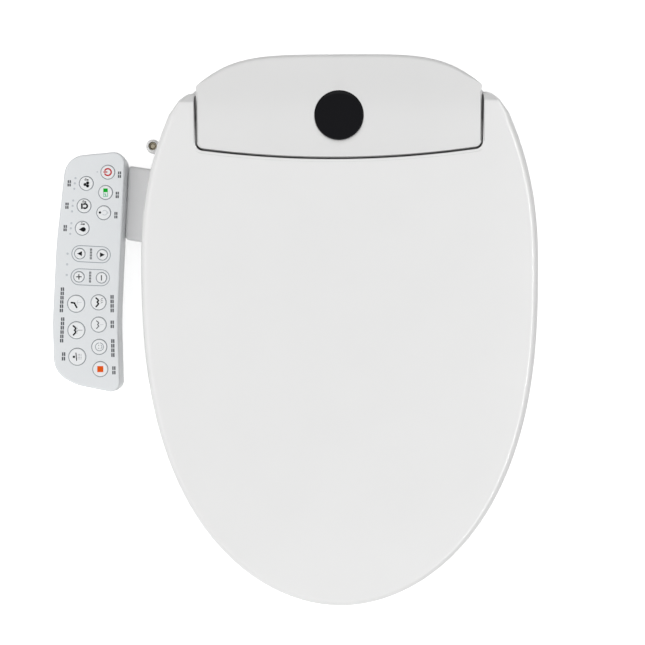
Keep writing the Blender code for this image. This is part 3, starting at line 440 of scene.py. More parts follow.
def crowned_cap(bm, border, height, spacing, extra_y=()):
    """Fills a border ring with a grid of faces that follows height(x, y)."""
    mark = bm.faces.layers.int.new("cap")
    bm.faces.new(border)[mark] = 1
    known = set(bm.verts)
    spans = [(min(v.co[k] for v in border), max(v.co[k] for v in border)) for k in (0, 1)]
    planes = [
        (axis, i * spacing)
        for axis, (low, high) in enumerate(spans)
        for i in range(math.ceil(low / spacing), math.floor(high / spacing) + 1)
    ]
    for axis, at in planes + [(1, y) for y in extra_y]:
        faces = [f for f in bm.faces if f[mark]]
        edges = {e for f in faces for e in f.edges}
        verts = {v for f in faces for v in f.verts}
        normal, point = Vector((0, 0, 0)), Vector((0, 0, 0))
        normal[axis], point[axis] = 1, at
        bmesh.ops.bisect_plane(
            bm, geom=[*verts, *edges, *faces], plane_co=point, plane_no=normal, dist=1e-6
        )
    for vert in bm.verts:
        if vert not in known:
            vert.co.z = height(vert.co.x, vert.co.y)


def edge_rings(outline, radii, height, steps):
    """Rings that round a top edge, from the wall to the top surface."""
    top = inset(outline, radii)
    rings = []
    for k in range(steps + 1):
        angle = math.radians(90) * k / steps
        moved = inset(outline, [r * (1 - math.cos(angle)) for r in radii])
        z = [height(t.x, t.y) - r * (1 - math.sin(angle)) for t, r in zip(top, radii)]
        rings.append((moved, z))
    support = inset(outline, [r + 0.4 * MM for r in radii])
    rings.append((support, [height(p.x, p.y) for p in support]))
    return rings


def prism(outline, low, high, bm=None):
    """A flat solid between two heights, added to bm if given."""
    bm = bm or bmesh.new()
    rings = [ring_of(bm, outline, low), ring_of(bm, outline, high)]
    skin(bm, rings)
    bm.faces.new(rings[0][::-1])
    bm.faces.new(rings[1])
    return bm


def side_profile(points, x_low, x_high):
    """A solid with a (y, z) profile between two x."""
    bm = bmesh.new()
    rings = [[bm.verts.new((x, y, z)) for y, z in points] for x in (x_low, x_high)]
    skin(bm, rings)
    bm.faces.new(rings[0][::-1])
    bm.faces.new(rings[1])
    bmesh.ops.recalc_face_normals(bm, faces=bm.faces)
    return bm


# ---------------------------------------------------------------- outlines


def lid_half_width(y):
    share = max(0.0, (y - LID_WIDEST_Y) / (LID_REAR_Y - LID_WIDEST_Y))
    return LID_HALF_WIDTH - LID_REAR_DROP * share**2.45


def front_curve(steps=56):
    points = []
    for i in range(steps + 1):
        t = math.radians(90) * i / steps
        x = LID_HALF_WIDTH * math.sin(t) ** (2 / 1.95)
        y = LID_WIDEST_Y - (LID_WIDEST_Y - LID_FRONT_Y) * math.cos(t) ** (2 / 2.5)
        points.append(Vector((x, y)))
    return points


def notch_y(x, front_y):
    return front_y + NOTCH_BOW * (x / NOTCH_BOW_AT) ** 2


def curve_corners(points):
    return [(p.x, p.y, 0) for p in points]


def lid_outline():
    corners = curve_corners(front_curve())
    corners += [(lid_half_width(y * MM), y * MM, 0) for y in range(-148, 3, 7)]
    corners += [
        *EAR_CORNERS,
        (NOTCH_HALF_WIDTH, LID_REAR_Y, 3.2 * MM),
        (NOTCH_HALF_WIDTH, notch_y(NOTCH_HALF_WIDTH, NOTCH_FRONT_Y), 7.4 * MM),
    ]
    corners += [(x * MM, notch_y(x * MM, NOTCH_FRONT_Y), 0) for x in range(126, -1, -9)]
    return mirrored(rounded(corners))


def seat_outline():
    side = curve_corners(front_curve())
    side += [(lid_half_width(y * MM), y * MM, 0) for y in range(-148, -70, 7)]
    points = inset(mirrored([Vector(p[:2]) for p in side] + [Vector((0, 0))]), SEAT_INSET)
    half = points[: len(side)]
    half[0].x = 0.0
    corners = curve_corners(half[:-1])
    corners += [(lid_half_width(SEAT_REAR_Y) - SEAT_INSET, -48 * MM, 22 * MM)]
    corners += [(x * MM, notch_y(x * MM, SEAT_REAR_Y), 0) for x in range(126, -1, -9)]
    return mirrored(rounded(corners))


def base_outline(step=math.radians(7)):
    corners = [(0, -86 * MM, 0), (60 * MM, -86.5 * MM, 0)]
    corners += [
        (100 * MM, -89 * MM, 9 * MM),
        (126 * MM, WING_FRONT_Y, 9 * MM),
        (lid_half_width(WING_FRONT_Y) - BASE_INSET, WING_FRONT_Y, 14 * MM),
    ]
    corners += [(lid_half_width(y * MM) - BASE_INSET, y * MM, 0) for y in range(-95, 1, 8)]
    corners += [(146.5 * MM, 27 * MM, 8 * MM), (139.5 * MM, 33 * MM, 8 * MM)]
    corners += [(x * MM, cover_rear_y(x * MM) - 1.5 * MM, 0) for x in range(118, -1, -5)]
    corners += [(0, cover_rear_y(0) - 1.5 * MM, 0)]
    return mirrored(rounded(corners, step))


def cover_rear_y(x):
    return COVER_REAR_Y - 30.2 * MM * (x / (136 * MM)) ** 4.5


def cover_outline():
    half = [(x * MM, notch_y(x * MM, COVER_FRONT_Y), 0) for x in range(0, 127, 9)]
    half += [
        (COVER_HALF_WIDTH, notch_y(COVER_HALF_WIDTH, COVER_FRONT_Y), 6 * MM),
        (COVER_HALF_WIDTH, 20 * MM, 4 * MM),
        (COVER_LIP, 23.5 * MM, 1.5 * MM),
        (COVER_LIP, cover_rear_y(COVER_LIP), 2.5 * MM),
    ]
    half += [(x * MM, cover_rear_y(x * MM), 0) for x in range(129, 0, -5)]
    half += [(0, cover_rear_y(0), 0)]
    return mirrored(rounded(half))


def panel_outline():
    return rounded(
        [
            (-208.4 * MM, -29.8 * MM, 11 * MM),
            (-266.7 * MM, -35 * MM, 21 * MM),
            (-276.6 * MM, -120 * MM, 300 * MM),
            (-280.9 * MM, -198 * MM, 300 * MM),
            (-279.6 * MM, -246.5 * MM, 24 * MM),
            (-258 * MM, -258.4 * MM, 40 * MM),
            (-215.2 * MM, -267.5 * MM, 9 * MM),
            (-217 * MM, -195 * MM, 400 * MM),
        ],
        math.radians(2.5),
    )


# ---------------------------------------------------------------- surfaces


def lid_height(x, y):
    fall = EAR_SLOPE * soft_ramp(y - EAR_BREAK_Y, 1.2 * MM)
    crown = LID_CROWN * (x / LID_HALF_WIDTH) ** 2
    return LID_TOP + LID_SLOPE * y - LID_SAG * y * y - crown - fall


def seat_height(x, y):
    crown = LID_CROWN * (x / LID_HALF_WIDTH) ** 2
    return LID_TOP - SEAT_DROP + LID_SLOPE * y - LID_SAG * y * y - crown


def seat_floor(y):
    rise = smoothstep(-150 * MM, -128 * MM, y)
    return SEAT_FRONT_FLOOR + (SEAT_REAR_FLOOR - SEAT_FRONT_FLOOR) * rise


def cover_height(x, y):
    crown = 4.5 * MM * (x / COVER_HALF_WIDTH) ** 2
    rear_fall = 3.5 * MM * smoothstep(0, COVER_REAR_Y, y)
    front_fall = 5 * MM * smoothstep(10 * MM, -45 * MM, y)
    return COVER_TOP - crown - rear_fall - front_fall


def swing_y(y, z, new_z):
    """The y at new_z of a wall that keeps its distance to the axis, upright under the axis."""
    radius = math.hypot(y, z - HINGE_Z)
    return -math.sqrt(radius**2 - max(0.0, new_z - HINGE_Z) ** 2)


# ---------------------------------------------------------------- lid


def outside_share(p):
    """0 on the notch's edge, 1 on the lid's outer border."""
    if p.y < -60 * MM:
        return 1.0
    return smoothstep(NOTCH_HALF_WIDTH + 0.4 * MM, NOTCH_HALF_WIDTH + 6 * MM, abs(p.x))


def make_lid():
    outline = lid_outline()
    radii = [
        NOTCH_EDGE
        + (LID_EDGE - NOTCH_EDGE - 4.8 * MM * smoothstep(-10 * MM, 14 * MM, p.y)) * outside_share(p)
        for p in outline
    ]
    rings = edge_rings(outline, radii, lid_height, 7)
    skirt = [[], [], []]
    for p, z, r in zip(outline, rings[0][1], radii):
        depth = LID_SKIRT + 29 * MM * smoothstep(-62 * MM, -12 * MM, p.y)
        depth -= 14 * MM * smoothstep(2 * MM, 14 * MM, p.y)
        depth = 9 * MM + (depth - 9 * MM) * outside_share(p)
        in_front = outside_share(p) == 0 and p.y < -25 * MM
        for ring, share in zip(skirt, (1.0, 0.66, 0.33)):
            level = z + (r - depth) * share
            y = swing_y(p.y, z + r, level) if in_front else p.y
            ring.append((Vector((p.x, y)), level))
    bm = bmesh.new()
    made = [ring_of(bm, [p for p, _ in ring], [z for _, z in ring]) for ring in skirt]
    made += [ring_of(bm, o, z) for o, z in rings]
    skin(bm, made)
    crowned_cap(bm, made[-1], lid_height, 11 * MM, extra_y=[y * MM for y in (8, 9.5, 10.5, 11.5, 13)])
    lid = piece("lid_cover_shell", bm, WHITE)
    bevel(solidify(lid, LID_WALL), 0.5 * MM, 2, 70)
    bake(lid)
    settle(lid, "lid", ["lid_shell"])
    for side, name in ((1, "right"), (-1, "left")):
        make_lid_boss(side, name)
        low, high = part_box("lid_bumper_" + name)
        place = ((low.x + high.x) / 2, (low.y + high.y) / 2, low.z)
        tall = high.z - low.z
        profile = (
            (0, 0), (4.6 * MM, 0), (5.6 * MM, 0.4 * MM), (6.2 * MM, 1.4 * MM), (6.6 * MM, tall - 2.5 * MM),
            (7 * MM, tall - 2 * MM), (7 * MM, tall), (0, tall),
        )
        piece("lid_pad_" + name, lathe(profile, place), RUBBER, "lid", ["lid_bumper_" + name])


def make_lid_boss(side, name):
    """Bored hub and rib that carry the lid on its shaft, inside the ear."""
    near, far = LID_BOSS
    wide, deep = far - near, far - near - 2 * MM
    profile = (
        (0, deep), (SHAFT_BORE, deep), (SHAFT_BORE, 0), (HUB_RADIUS, 0), (HUB_RADIUS, wide), (0, wide),
    )
    hub = lathe(profile, (side * near, 0, HINGE_Z), (side, 0, 0))
    piece("lid_hub_" + name, hub, WHITE, "lid")
    low, high = sorted((side * near, side * far))
    block = box((low, -4 * MM, HINGE_Z + 9 * MM), (high, 4 * MM, 118.7 * MM))
    rib = piece("lid_rib_" + name, block, WHITE)
    bake(bevel(rib, 0.6 * MM, 2))
    settle(rib, "lid")


# ---------------------------------------------------------------- seat ring


def hole_point(toward):
    centre = Vector((0, HOLE_CENTRE_Y))
    direction = (toward - centre).normalized()
    depth = HOLE_REAR if direction.y > 0 else HOLE_FRONT
    power = 2.15
    scale = (abs(direction.x) / HOLE_HALF_WIDTH) ** power + (abs(direction.y) / depth) ** power
    return centre + direction * scale ** (-1 / power)


def make_seat():
    outer = seat_outline()
    floors = [seat_floor(p.y) for p in outer]
    rim = inset(outer, SEAT_EDGE)
    hole = [hole_point(p) for p in rim]
    lip = inset(hole, -SEAT_EDGE)

    def surface_ring(share):
        outline = [a.lerp(b, share) for a, b in zip(rim, lip)]
        dip = SEAT_DISH * share**1.9
        return outline, [seat_height(p.x, p.y) - dip for p in outline]

    def rounding(border, sign, base, angle):
        moved = inset(border, sign * SEAT_EDGE * (1 - math.cos(angle)))
        return moved, [z - SEAT_EDGE * (1 - math.sin(angle)) for z in base]

    quarter = [math.radians(90) * k / 6 for k in range(6)]
    outer_top, inner_top = surface_ring(0.0)[1], surface_ring(1.0)[1]
    rings = [(outer, [z + d for z in floors]) for d in (0.0, 1.2 * MM)]
    rings += [rounding(outer, 1, outer_top, a) for a in quarter]
    rings += [surface_ring(k / 12) for k in range(13)]
    rings += [rounding(hole, -1, inner_top, a) for a in reversed(quarter)]
    rings += [(hole, [z + d for z in floors]) for d in (1.2 * MM, 0.0)]
    bm = bmesh.new()
    skin(bm, [ring_of(bm, o, z) for o, z in rings])
    seat = piece("seat_ring_shell", bm, SEAT_WHITE)
    bake(solidify(seat, SEAT_WALL))
    lugs, bores = [], []
    for side in (1, -1):
        near, far = sorted(side * x for x in SEAT_LUG)
        arc = [math.radians(a) for a in range(-80, 91, 10)]
        hub = [(LUG_RADIUS * math.cos(a), HINGE_Z + LUG_RADIUS * math.sin(a)) for a in arc]
        arm = [(-50 * MM, 98.5 * MM), (-60 * MM, 96 * MM), (-60 * MM, 76 * MM), (-30 * MM, 80 * MM)]
        lugs.append(tool("lug", side_profile(hub + arm, near, far)))
        bore = cylinder((near - 3 * MM, 0, HINGE_Z), (far + 3 * MM, 0, HINGE_Z), SHAFT_BORE)
        bores.append(tool("bore", bore))
    boolean(seat, "UNION", *lugs)
    boolean(seat, "DIFFERENCE", *bores)
    bake(seat, lugs + bores)
    settle(seat, "seat_ring", ["seat_top_shell"])

    slack = SEAT_WALL + 0.4 * MM
    bm = bmesh.new()
    heights = [z + 2.8 * MM for z in floors]
    skin(bm, [ring_of(bm, inset(outer, slack), heights), ring_of(bm, inset(hole, -slack), heights)])
    bottom = piece("seat_ring_underside", bm, SEAT_WHITE)
    bake(bevel(solidify(bottom, 2.4 * MM), 0.4 * MM, 2, 70))
    settle(bottom, "seat_ring", ["seat_bottom_shell"])

    for name in ("front_left", "front_right", "rear_left", "rear_right"):
        low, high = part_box("seat_bumper_" + name)
        bm = box((-7 * MM, -16 * MM, low.z), (7 * MM, 16 * MM, high.z))
        middle = (low + high) / 2
        turn = math.atan2(middle.x, -middle.y - 60 * MM) * 0.75
        place = Matrix.Translation((middle.x, middle.y, 0)) @ Matrix.Rotation(turn, 4, "Z")
        bmesh.ops.transform(bm, matrix=place, verts=bm.verts)
        foot = piece("seat_foot_" + name, bm, RUBBER)
        bake(bevel(foot, 2.4 * MM, 4))
        settle(foot, "seat_ring", ["seat_bumper_" + name])


# ---------------------------------------------------------------- housing


def frame_matrix():
    """The sloping frame of the nozzles, from the exit up to the rear."""
    return Matrix.Translation((0, -86 * MM, 18 * MM)) @ Matrix.Rotation(math.radians(20), 4, "X")


def make_base():
    outline = base_outline()
    bm = bmesh.new()
    floor = ring_of(bm, inset(outline, BASE_ROUND), 0.0)
    rings = [floor]
    for k in range(1, 6):
        angle = math.radians(90) * k / 5
        moved = inset(outline, BASE_ROUND * (1 - math.sin(angle)))
        rings.append(ring_of(bm, moved, BASE_ROUND * (1 - math.cos(angle))))
    rings.append(ring_of(bm, outline, BASE_HEIGHT))
    skin(bm, rings)
    bm.faces.new(floor[::-1])
    base = piece("base_tray", bm, WHITE)
    bake(bevel(solidify(base, BASE_WALL), 0.4 * MM, 2, 70))
    block = tool("block", box((-104 * MM, -30 * MM, 1 * MM), (104 * MM, 44 * MM, 9.6 * MM)))
    exit_box = box((-23 * MM, -20 * MM, -11.5 * MM), (23 * MM, 8 * MM, 12 * MM))
    bmesh.ops.transform(exit_box, matrix=frame_matrix(), verts=exit_box.verts)
    tools = [
        tool("channel", box((-100.4 * MM, -26.4 * MM, -5 * MM), (100.4 * MM, 70 * MM, 6.6 * MM))),
        tool("exit", exit_box),
        tool("air", box((63.5 * MM, -95 * MM, 12 * MM), (96.5 * MM, -80 * MM, 36.2 * MM))),
        tool("lamp", cylinder((-70 * MM, -95 * MM, 24 * MM), (-70 * MM, -78 * MM, 24 * MM), 6.4 * MM)),
        tool("button", cylinder((140 * MM, -30 * MM, 24 * MM), (175 * MM, -30 * MM, 24 * MM), 7.4 * MM)),
        tool("cord", cylinder((100 * MM, 30 * MM, 24 * MM), (100 * MM, 60 * MM, 24 * MM), 8.4 * MM)),
        tool("inlet", cylinder(
            (-175 * MM, INLET_Y, INLET_PIPE_Z), (-145 * MM, INLET_Y, INLET_PIPE_Z), 6.6 * MM,
        )),
        tool("arm", box((-195 * MM, -105.5 * MM, 31 * MM), (-160 * MM, -64.5 * MM, 41 * MM))),
    ]
    boolean(base, "UNION", block)
    boolean(base, "DIFFERENCE", *tools)
    bake(base, [block, *tools])
    settle(base, "housing", ["base_case"])

    bm = bmesh.new()
    radii = [1.3 * MM] * len(outline)
    rings = [ring_of(bm, outline, BASE_HEIGHT + 0.3 * MM)]
    rings += [ring_of(bm, o, z) for o, z in edge_rings(outline, radii, lambda x, y: DECK_TOP, 4)]
    skin(bm, rings)
    bm.faces.new(rings[0][::-1])
    bm.faces.new(rings[-1])
    deck = piece("base_deck", bm, WHITE)
    opening = tool("opening", box((-112 * MM, -41.3 * MM, 40 * MM), (112 * MM, 34 * MM, 60 * MM)))
    bake(boolean(deck, "DIFFERENCE", opening), [opening])
    settle(deck, "housing", ["deck_cover"])


def make_cover():
    outline = cover_outline()
    radii = [NOTCH_EDGE + 4.2 * MM * smoothstep(26 * MM, 38 * MM, p.y) for p in outline]
    rings = edge_rings(outline, radii, cover_height, 6)
    bm = bmesh.new()
    made = []
    levels = [level * MM for level in (60, 70, 81, 92, 95, 98, 101, 104, 107, 110)]
    for level in [COVER_FLOOR, *levels]:
        moved = [
            Vector((p.x, swing_y(p.y, top + r, level))) if p.y < -20 * MM else p
            for p, top, r in zip(outline, rings[0][1], radii)
        ]
        made.append(ring_of(bm, moved, level))
    made += [ring_of(bm, o, z) for o, z in rings]
    skin(bm, made)
    crowned_cap(bm, made[-1], cover_height, 9 * MM)
    cover = piece("rear_housing_cover", bm, COVER_WHITE)
    bake(bevel(solidify(cover, COVER_WALL), 0.4 * MM, 2, 70))
    tools = [
        tool("window", cylinder(
            (0, WINDOW_Y, 110 * MM), (0, WINDOW_Y, 135 * MM), WINDOW_RADIUS + 0.25 * MM, 128,
        )),
        tool("shafts", cylinder((-150 * MM, 0, HINGE_Z), (150 * MM, 0, HINGE_Z), SHAFT_BORE)),
    ]
    bake(boolean(cover, "DIFFERENCE", *tools), tools)
    settle(cover, "housing", ["rear_cover"])

    top = cover_height(0, WINDOW_Y) + 0.15 * MM
    profile = [(0, -3 * MM), (WINDOW_RADIUS, -3 * MM), (WINDOW_RADIUS, -0.5 * MM)]
    profile += [
        (WINDOW_RADIUS - 0.5 * MM * (1 - math.cos(a)), -0.5 * MM * (1 - math.sin(a)))
        for a in (math.radians(30), math.radians(60), math.radians(90))
    ]
    profile += [(r * MM, 0.25 * MM * (1 - (r / 23) ** 2)) for r in (18, 12, 6)] + [(0, 0.25 * MM)]
    glass = lathe(profile, (0, WINDOW_Y, top - 0.1 * MM), segments=128)
    piece("round_display_window", glass, BLACK_GLASS, "housing", ["display_window"])


def make_inlet():
    """White elbow with a ribbed collar round a brass nipple."""
    place = (INLET_X, INLET_Y, 0)
    top, foot = INLET_TOP, 27 * MM
    shaft = lathe(
        (
            (0, foot), (4.4 * MM, foot), (5.6 * MM, foot + 1.2 * MM), (5.6 * MM, top - 0.7 * MM),
            (5.3 * MM, top - 0.2 * MM), (4.9 * MM, top), (4.2 * MM, top), (4.2 * MM, 38 * MM), (0, 38 * MM),
        ),
        place,
    )
    elbow = piece("inlet_elbow_body", shaft, SEAT_WHITE)
    pipe = cylinder((INLET_X, INLET_Y, INLET_PIPE_Z), (-152.6 * MM, INLET_Y, INLET_PIPE_Z), 5.6 * MM)
    pipe = tool("pipe", pipe)
    ribs, count = [], 30
    for k in range(count * 4):
        radius = (7.0 * MM, 7.0 * MM, 6.35 * MM, 6.35 * MM)[k % 4]
        angle = math.tau * k / (count * 4)
        ribs.append(Vector((INLET_X + radius * math.cos(angle), INLET_Y + radius * math.sin(angle))))
    collar = tool("collar", prism(ribs, top - 12 * MM, top - 1 * MM))
    well = tool("well", cylinder((INLET_X, INLET_Y, 38 * MM), (INLET_X, INLET_Y, 70 * MM), 4.2 * MM, 64))
    boolean(elbow, "UNION", pipe, collar)
    boolean(elbow, "DIFFERENCE", well)
    bake(elbow, [pipe, collar, well])
    settle(elbow, "housing", ["inlet_elbow"])
    nipple = lathe(
        (
            (0, 38.4 * MM), (3.8 * MM, 38.4 * MM), (3.8 * MM, top - 3.1 * MM),
            (3.5 * MM, top - 2.5 * MM), (3.0 * MM, top - 2.5 * MM), (2.8 * MM, top - 2.8 * MM),
            (2.8 * MM, 40 * MM), (0, 40 * MM),
        ),
        place,
    )
    piece("inlet_nipple_tube", nipple, BRASS, "housing", ["inlet_nipple"])
    profile = (
        (0, 40 * MM), (2.3 * MM, 40 * MM), (2.3 * MM, top - 2.4 * MM), (2.0 * MM, top - 2 * MM),
        (0, top - 2 * MM),
    )
    pin = lathe(profile, place)
    piece("inlet_valve_pin", pin, BRASS, "housing")


def make_arm():
    corners = (
        (-208.5, -41.6), (-212.6, -114.8), (-181.6, -120.0), (-178.6, -95.0), (-173.8, -70.0), (-169.4, -47.8),
    )
    outline = [Vector((x * MM, y * MM)) for x, y in corners]
    arm = piece("panel_arm", prism(outline, 28 * MM, ARM_TOP), ARM_WHITE_PAINTED_LIGHT)
    bake(bevel(arm, 3.2 * MM, 6, 60))
    tongue = tool("tongue", box((-222 * MM, -105 * MM, 31.6 * MM), (-163 * MM, -65 * MM, 40.4 * MM)))
    passage = tool("passage", box((-240 * MM, -102 * MM, 34 * MM), (-150 * MM, -68 * MM, 38 * MM)))
    boolean(arm, "UNION", tongue)
    bake(boolean(arm, "DIFFERENCE", passage), [tongue, passage])
    settle(arm, "housing", ["side_arm"])


# ---------------------------------------------------------------- control panel


def panel_spine(y):
    return -246 * MM + 0.46 * (y + 189 * MM) ** 2


def key_places():
    columns = (
        (("power", "eco", "light"), 11.6, -50.7, -19.8, 6.5),
        (("air_heat", "seat_heat", "water_heat"), -8.2, -61.5, -21.9, 6.5),
        (("nozzle_forward", "pressure_up"), -9.1, -130.1, -22.65, 4.85),
        (("nozzle_back", "pressure_down"), 12.9, -131.4, -22.45, 4.85),
        (("front_wash", "rear_wash", "self_clean"), -11.5, -179.0, -25.9, 8.05),
        (("dry", "massage", "child", "stop"), 10.4, -177.8, -21.75, 7.1),
    )
    return {
        name: (panel_spine((first + pitch * k) * MM) + across * MM, (first + pitch * k) * MM, radius * MM)
        for names, across, first, pitch, radius in columns
        for k, name in enumerate(names)
    }


def circle(x, y, radius, steps=24):
    angles = (math.tau * k / steps for k in range(steps))
    return [Vector((x + radius * math.cos(a), y + radius * math.sin(a))) for a in angles]


def stroke(points, width):
    """The outline of a line of even width through points, with round ends."""
    points = [Vector(p) for p in points]
    left, right = [], []
    for i, here in enumerate(points):
        before = (here - points[i - 1]).normalized() if i else None
        after = (points[i + 1] - here).normalized() if i + 1 < len(points) else None
        before, after = before or after, after or before
        n1, n2 = Vector((-before.y, before.x)), Vector((-after.y, after.x))
        offset = (n1 + n2) / max(0.4, 1 + n1.dot(n2)) * width / 2
        left.append(here + offset)
        right.append(here - offset)
    cap_end = arc_between(points[-1], right[-1], width / 2)
    cap_start = arc_between(points[0], left[0], width / 2)
    return right + cap_end + left[::-1] + cap_start


def arc_between(centre, start, radius):
    first = math.atan2(start.y - centre.y, start.x - centre.x)
    return [centre + Vector((math.cos(first + a), math.sin(first + a))) * radius
            for a in (math.radians(45), math.radians(90), math.radians(135))]


def arc_points(x, y, radius, start, end, steps=18):
    angles = (math.radians(start + (end - start) * k / steps) for k in range(steps + 1))
    return [(x + radius * math.cos(a), y + radius * math.sin(a)) for a in angles]


def band(bm, outer, inner, low, high):
    """A flat ring between two outlines with the same number of points."""
    rings = [ring_of(bm, o, z) for o, z in ((outer, low), (outer, high), (inner, high), (inner, low))]
    skin(bm, rings + [rings[0]])


def print_marks(name, shapes, base, body, finish, place=None):
    """Thin printed shapes; with a place they are drawn in a key's own turned frame."""
    bm = bmesh.new()
    for shape in shapes:
        if place:
            x, y = place
            shape = [Vector((x - v * MM, y + u * MM)) for u, v in shape]
        prism(shape, base - 0.01 * MM, base + INK, bm)
    bmesh.ops.recalc_face_normals(bm, faces=bm.faces)
    return piece(name, bm, finish, body, sharp=30)


SQUIGGLE = [(-4.6, 2.9), (-2.9, 1.2), (-1.5, 0.5), (0.0, 1.7), (1.4, 0.5), (2.6, 1.0), (4.2, 2.9)]


def thermometer(u, v):
    return [stroke([(u, v - 2.1), (u, v + 1.0)], 0.9), circle(u, v - 2.1, 0.85, 16),
            stroke([(u + 1.4, v + 0.8), (u + 1.4, v - 0.6)], 0.5)]


def scaled(points, size, u=0.0, v=0.0):
    return [(x * size + u, y * size + v) for x, y in points]


def icon_shapes():
    """Every key's symbol as (ink, shapes), in millimetres with +v the symbol's upper side."""
    drop = [(0, 3.1), (-0.9, 1.5), (-1.8, 0.1), (-2.2, -1.2), (-1.9, -2.3), (-1.0, -3.1), (0, -3.4),
            (1.0, -3.1), (1.9, -2.3), (2.2, -1.2), (1.8, 0.1), (0.9, 1.5)]
    ring = arc_points(-0.3, -1.0, 2.2, -215, 35, 20)
    yield "power", INK_RED, [
        stroke(arc_points(0, 0, 3.3, -238, 58, 30), 1.4), stroke([(0.1, 0.9), (0.1, 3.9)], 1.2),
    ]
    yield "eco", INK_GREEN, [[(0.2, -2.2), (3.9, -2.2), (3.9, 2.2), (0.2, 2.2)]]
    yield "eco", INK_PALE_GREEN, [
        stroke([(-0.2, 1.9), (-4.0, 1.9), (-4.0, -1.9), (-0.2, -1.9)], 0.7),
        stroke([(-1.5, 0.5), (-3.0, -0.2)], 1.3),
    ]
    yield "light", INK_BLACK, [circle(0.2, 3.6, 1.15)]
    yield "light", INK_PALE, [
        stroke(arc_points(0, -0.9, 2.3, -230, 50, 24), 0.6), stroke([(-1.0, -4.1), (1.0, -4.1)], 0.6),
    ]
    yield "air_heat", INK_BLACK, [circle(-1.2, 1.2, 1.5), circle(-2.6, -1.3, 1.5), circle(0.4, -1.4, 1.5)]
    yield "air_heat", INK_BLACK, scaled_shapes(thermometer(3.3, 0.5), 0.95)
    yield "seat_heat", INK_BLACK, [stroke(ring, 1.6), [(-3.0, 1.2), (2.4, 1.2), (2.4, 2.9), (-3.0, 2.9)]]
    yield "seat_heat", INK_BLACK, scaled_shapes(thermometer(3.7, 0.5), 0.95)
    yield "water_heat", INK_BLACK, [scaled(drop, 1.05, -1.2, 0.0)]
    yield "water_heat", INK_BLACK, scaled_shapes(thermometer(3.9, 0.3), 0.95)
    yield "nozzle_forward", INK_BLACK, [[(-2.4, -2.1), (2.4, -2.1), (0, 2.6)]]
    yield "nozzle_back", INK_BLACK, [[(2.4, 2.2), (-2.4, 2.2), (0, -2.5)]]
    yield "pressure_up", INK_BLACK, [
        stroke([(-2.3, 0), (-0.5, 0)], 0.95), stroke([(0.5, 0), (2.3, 0)], 0.95),
        stroke([(0, -2.3), (0, 2.3)], 0.95),
    ]
    yield "pressure_down", INK_BLACK, [stroke([(-2.3, 0), (2.3, 0)], 0.95)]
    yield "front_wash", INK_BLACK, [stroke([(1.1, 4.6), (0.7, 1.6), (-1.0, 0.9), (-3.6, -0.6)], 1.6)]
    yield "front_wash", INK_PALE, [
        stroke(arc_points(1.2, -3.6, 2.6, 30, 150, 10), 0.4), stroke([(1.2, -5.4), (1.2, -1.0)], 0.4),
    ]
    yield "rear_wash", INK_BLACK, [stroke(SQUIGGLE, 1.5)]
    yield "rear_wash", INK_DARK, [
        stroke([(0, -5.9), (0, -0.2)], 0.45), circle(1.5, -1.0, 0.35, 10), circle(-1.5, -1.0, 0.35, 10),
        circle(3.0, -0.6, 0.3, 10), circle(-3.0, -0.6, 0.3, 10),
    ]
    yield "self_clean", INK_BLACK, [stroke([(-3.6, 0.6), (3.6, 1.2)], 0.9), circle(-0.1, 3.2, 1.2, 16)]
    yield "self_clean", INK_DARK, [
        circle(u, v, 0.32, 10) for u in (-2.2, -0.7, 0.8, 2.3) for v in (-1.0, -2.4, -3.8)
    ]
    yield "dry", INK_BLACK, [stroke(scaled(SQUIGGLE, 0.95, 0.2, -0.4), 1.45)]
    yield "dry", INK_DARK, [
        stroke([(u, -2.2), (u + 0.9, -3.2), (u + 1.1, -4.3)], 0.4) for u in (-0.9, 0.9, 2.7)
    ]
    yield "massage", INK_DARK, [stroke(scaled(SQUIGGLE, 0.86, 0.1, -0.4), 0.9)]
    yield "massage", INK_PALE, [
        stroke([(0, -4.6), (0, -1.2)], 0.4), stroke([(1.4, -1.2), (2.0, -0.2)], 0.35),
        stroke([(-1.4, -1.2), (-2.0, -0.2)], 0.35),
    ]
    yield "child", INK_GREY, [
        stroke(arc_points(0, -0.2, 3.9, 10, 350, 40), 0.7),
        stroke(arc_points(0, -0.6, 2.0, 210, 330, 10), 0.55),
    ]
    yield "child", INK_DARK, [circle(-1.5, 0.5, 0.42, 12), circle(1.5, 0.5, 0.42, 12)]
    yield "stop", INK_ORANGE, [[(-2.95, -2.95), (2.95, -2.95), (2.95, 2.95), (-2.95, 2.95)]]


def scaled_shapes(shapes, size):
    """Shapes shrunk about their common middle."""
    points = [Vector(p) for shape in shapes for p in shape]
    middle = sum(points, Vector((0, 0))) / len(points)
    return [[middle + (Vector(p) - middle) * size for p in shape] for shape in shapes]


def make_keys():
    places = key_places()
    for name, (x, y, radius) in places.items():
        edge = 0.4 * MM
        profile = [(0, KEY_BOTTOM), (radius, KEY_BOTTOM), (radius, KEY_TOP - edge)]
        profile += [
            (radius - edge * (1 - math.cos(a)), KEY_TOP - edge * (1 - math.sin(a)))
            for a in (math.radians(30), math.radians(60), math.radians(90))
        ]
        profile += [(radius * 0.8, KEY_FACE), (0, KEY_FACE)]
        cap = lathe(profile, (x, y, 0), segments=72)
        piece("button_" + name, cap, KEY_WHITE, name + "_key", ["key_" + name])
    counts = {}
    for name, colour, shapes in icon_shapes():
        counts[name] = counts.get(name, 0) + 1
        x, y, _ = places[name]
        print_marks(f"symbol_{name}_{counts[name]}", shapes, KEY_FACE, name + "_key", colour, (x, y))


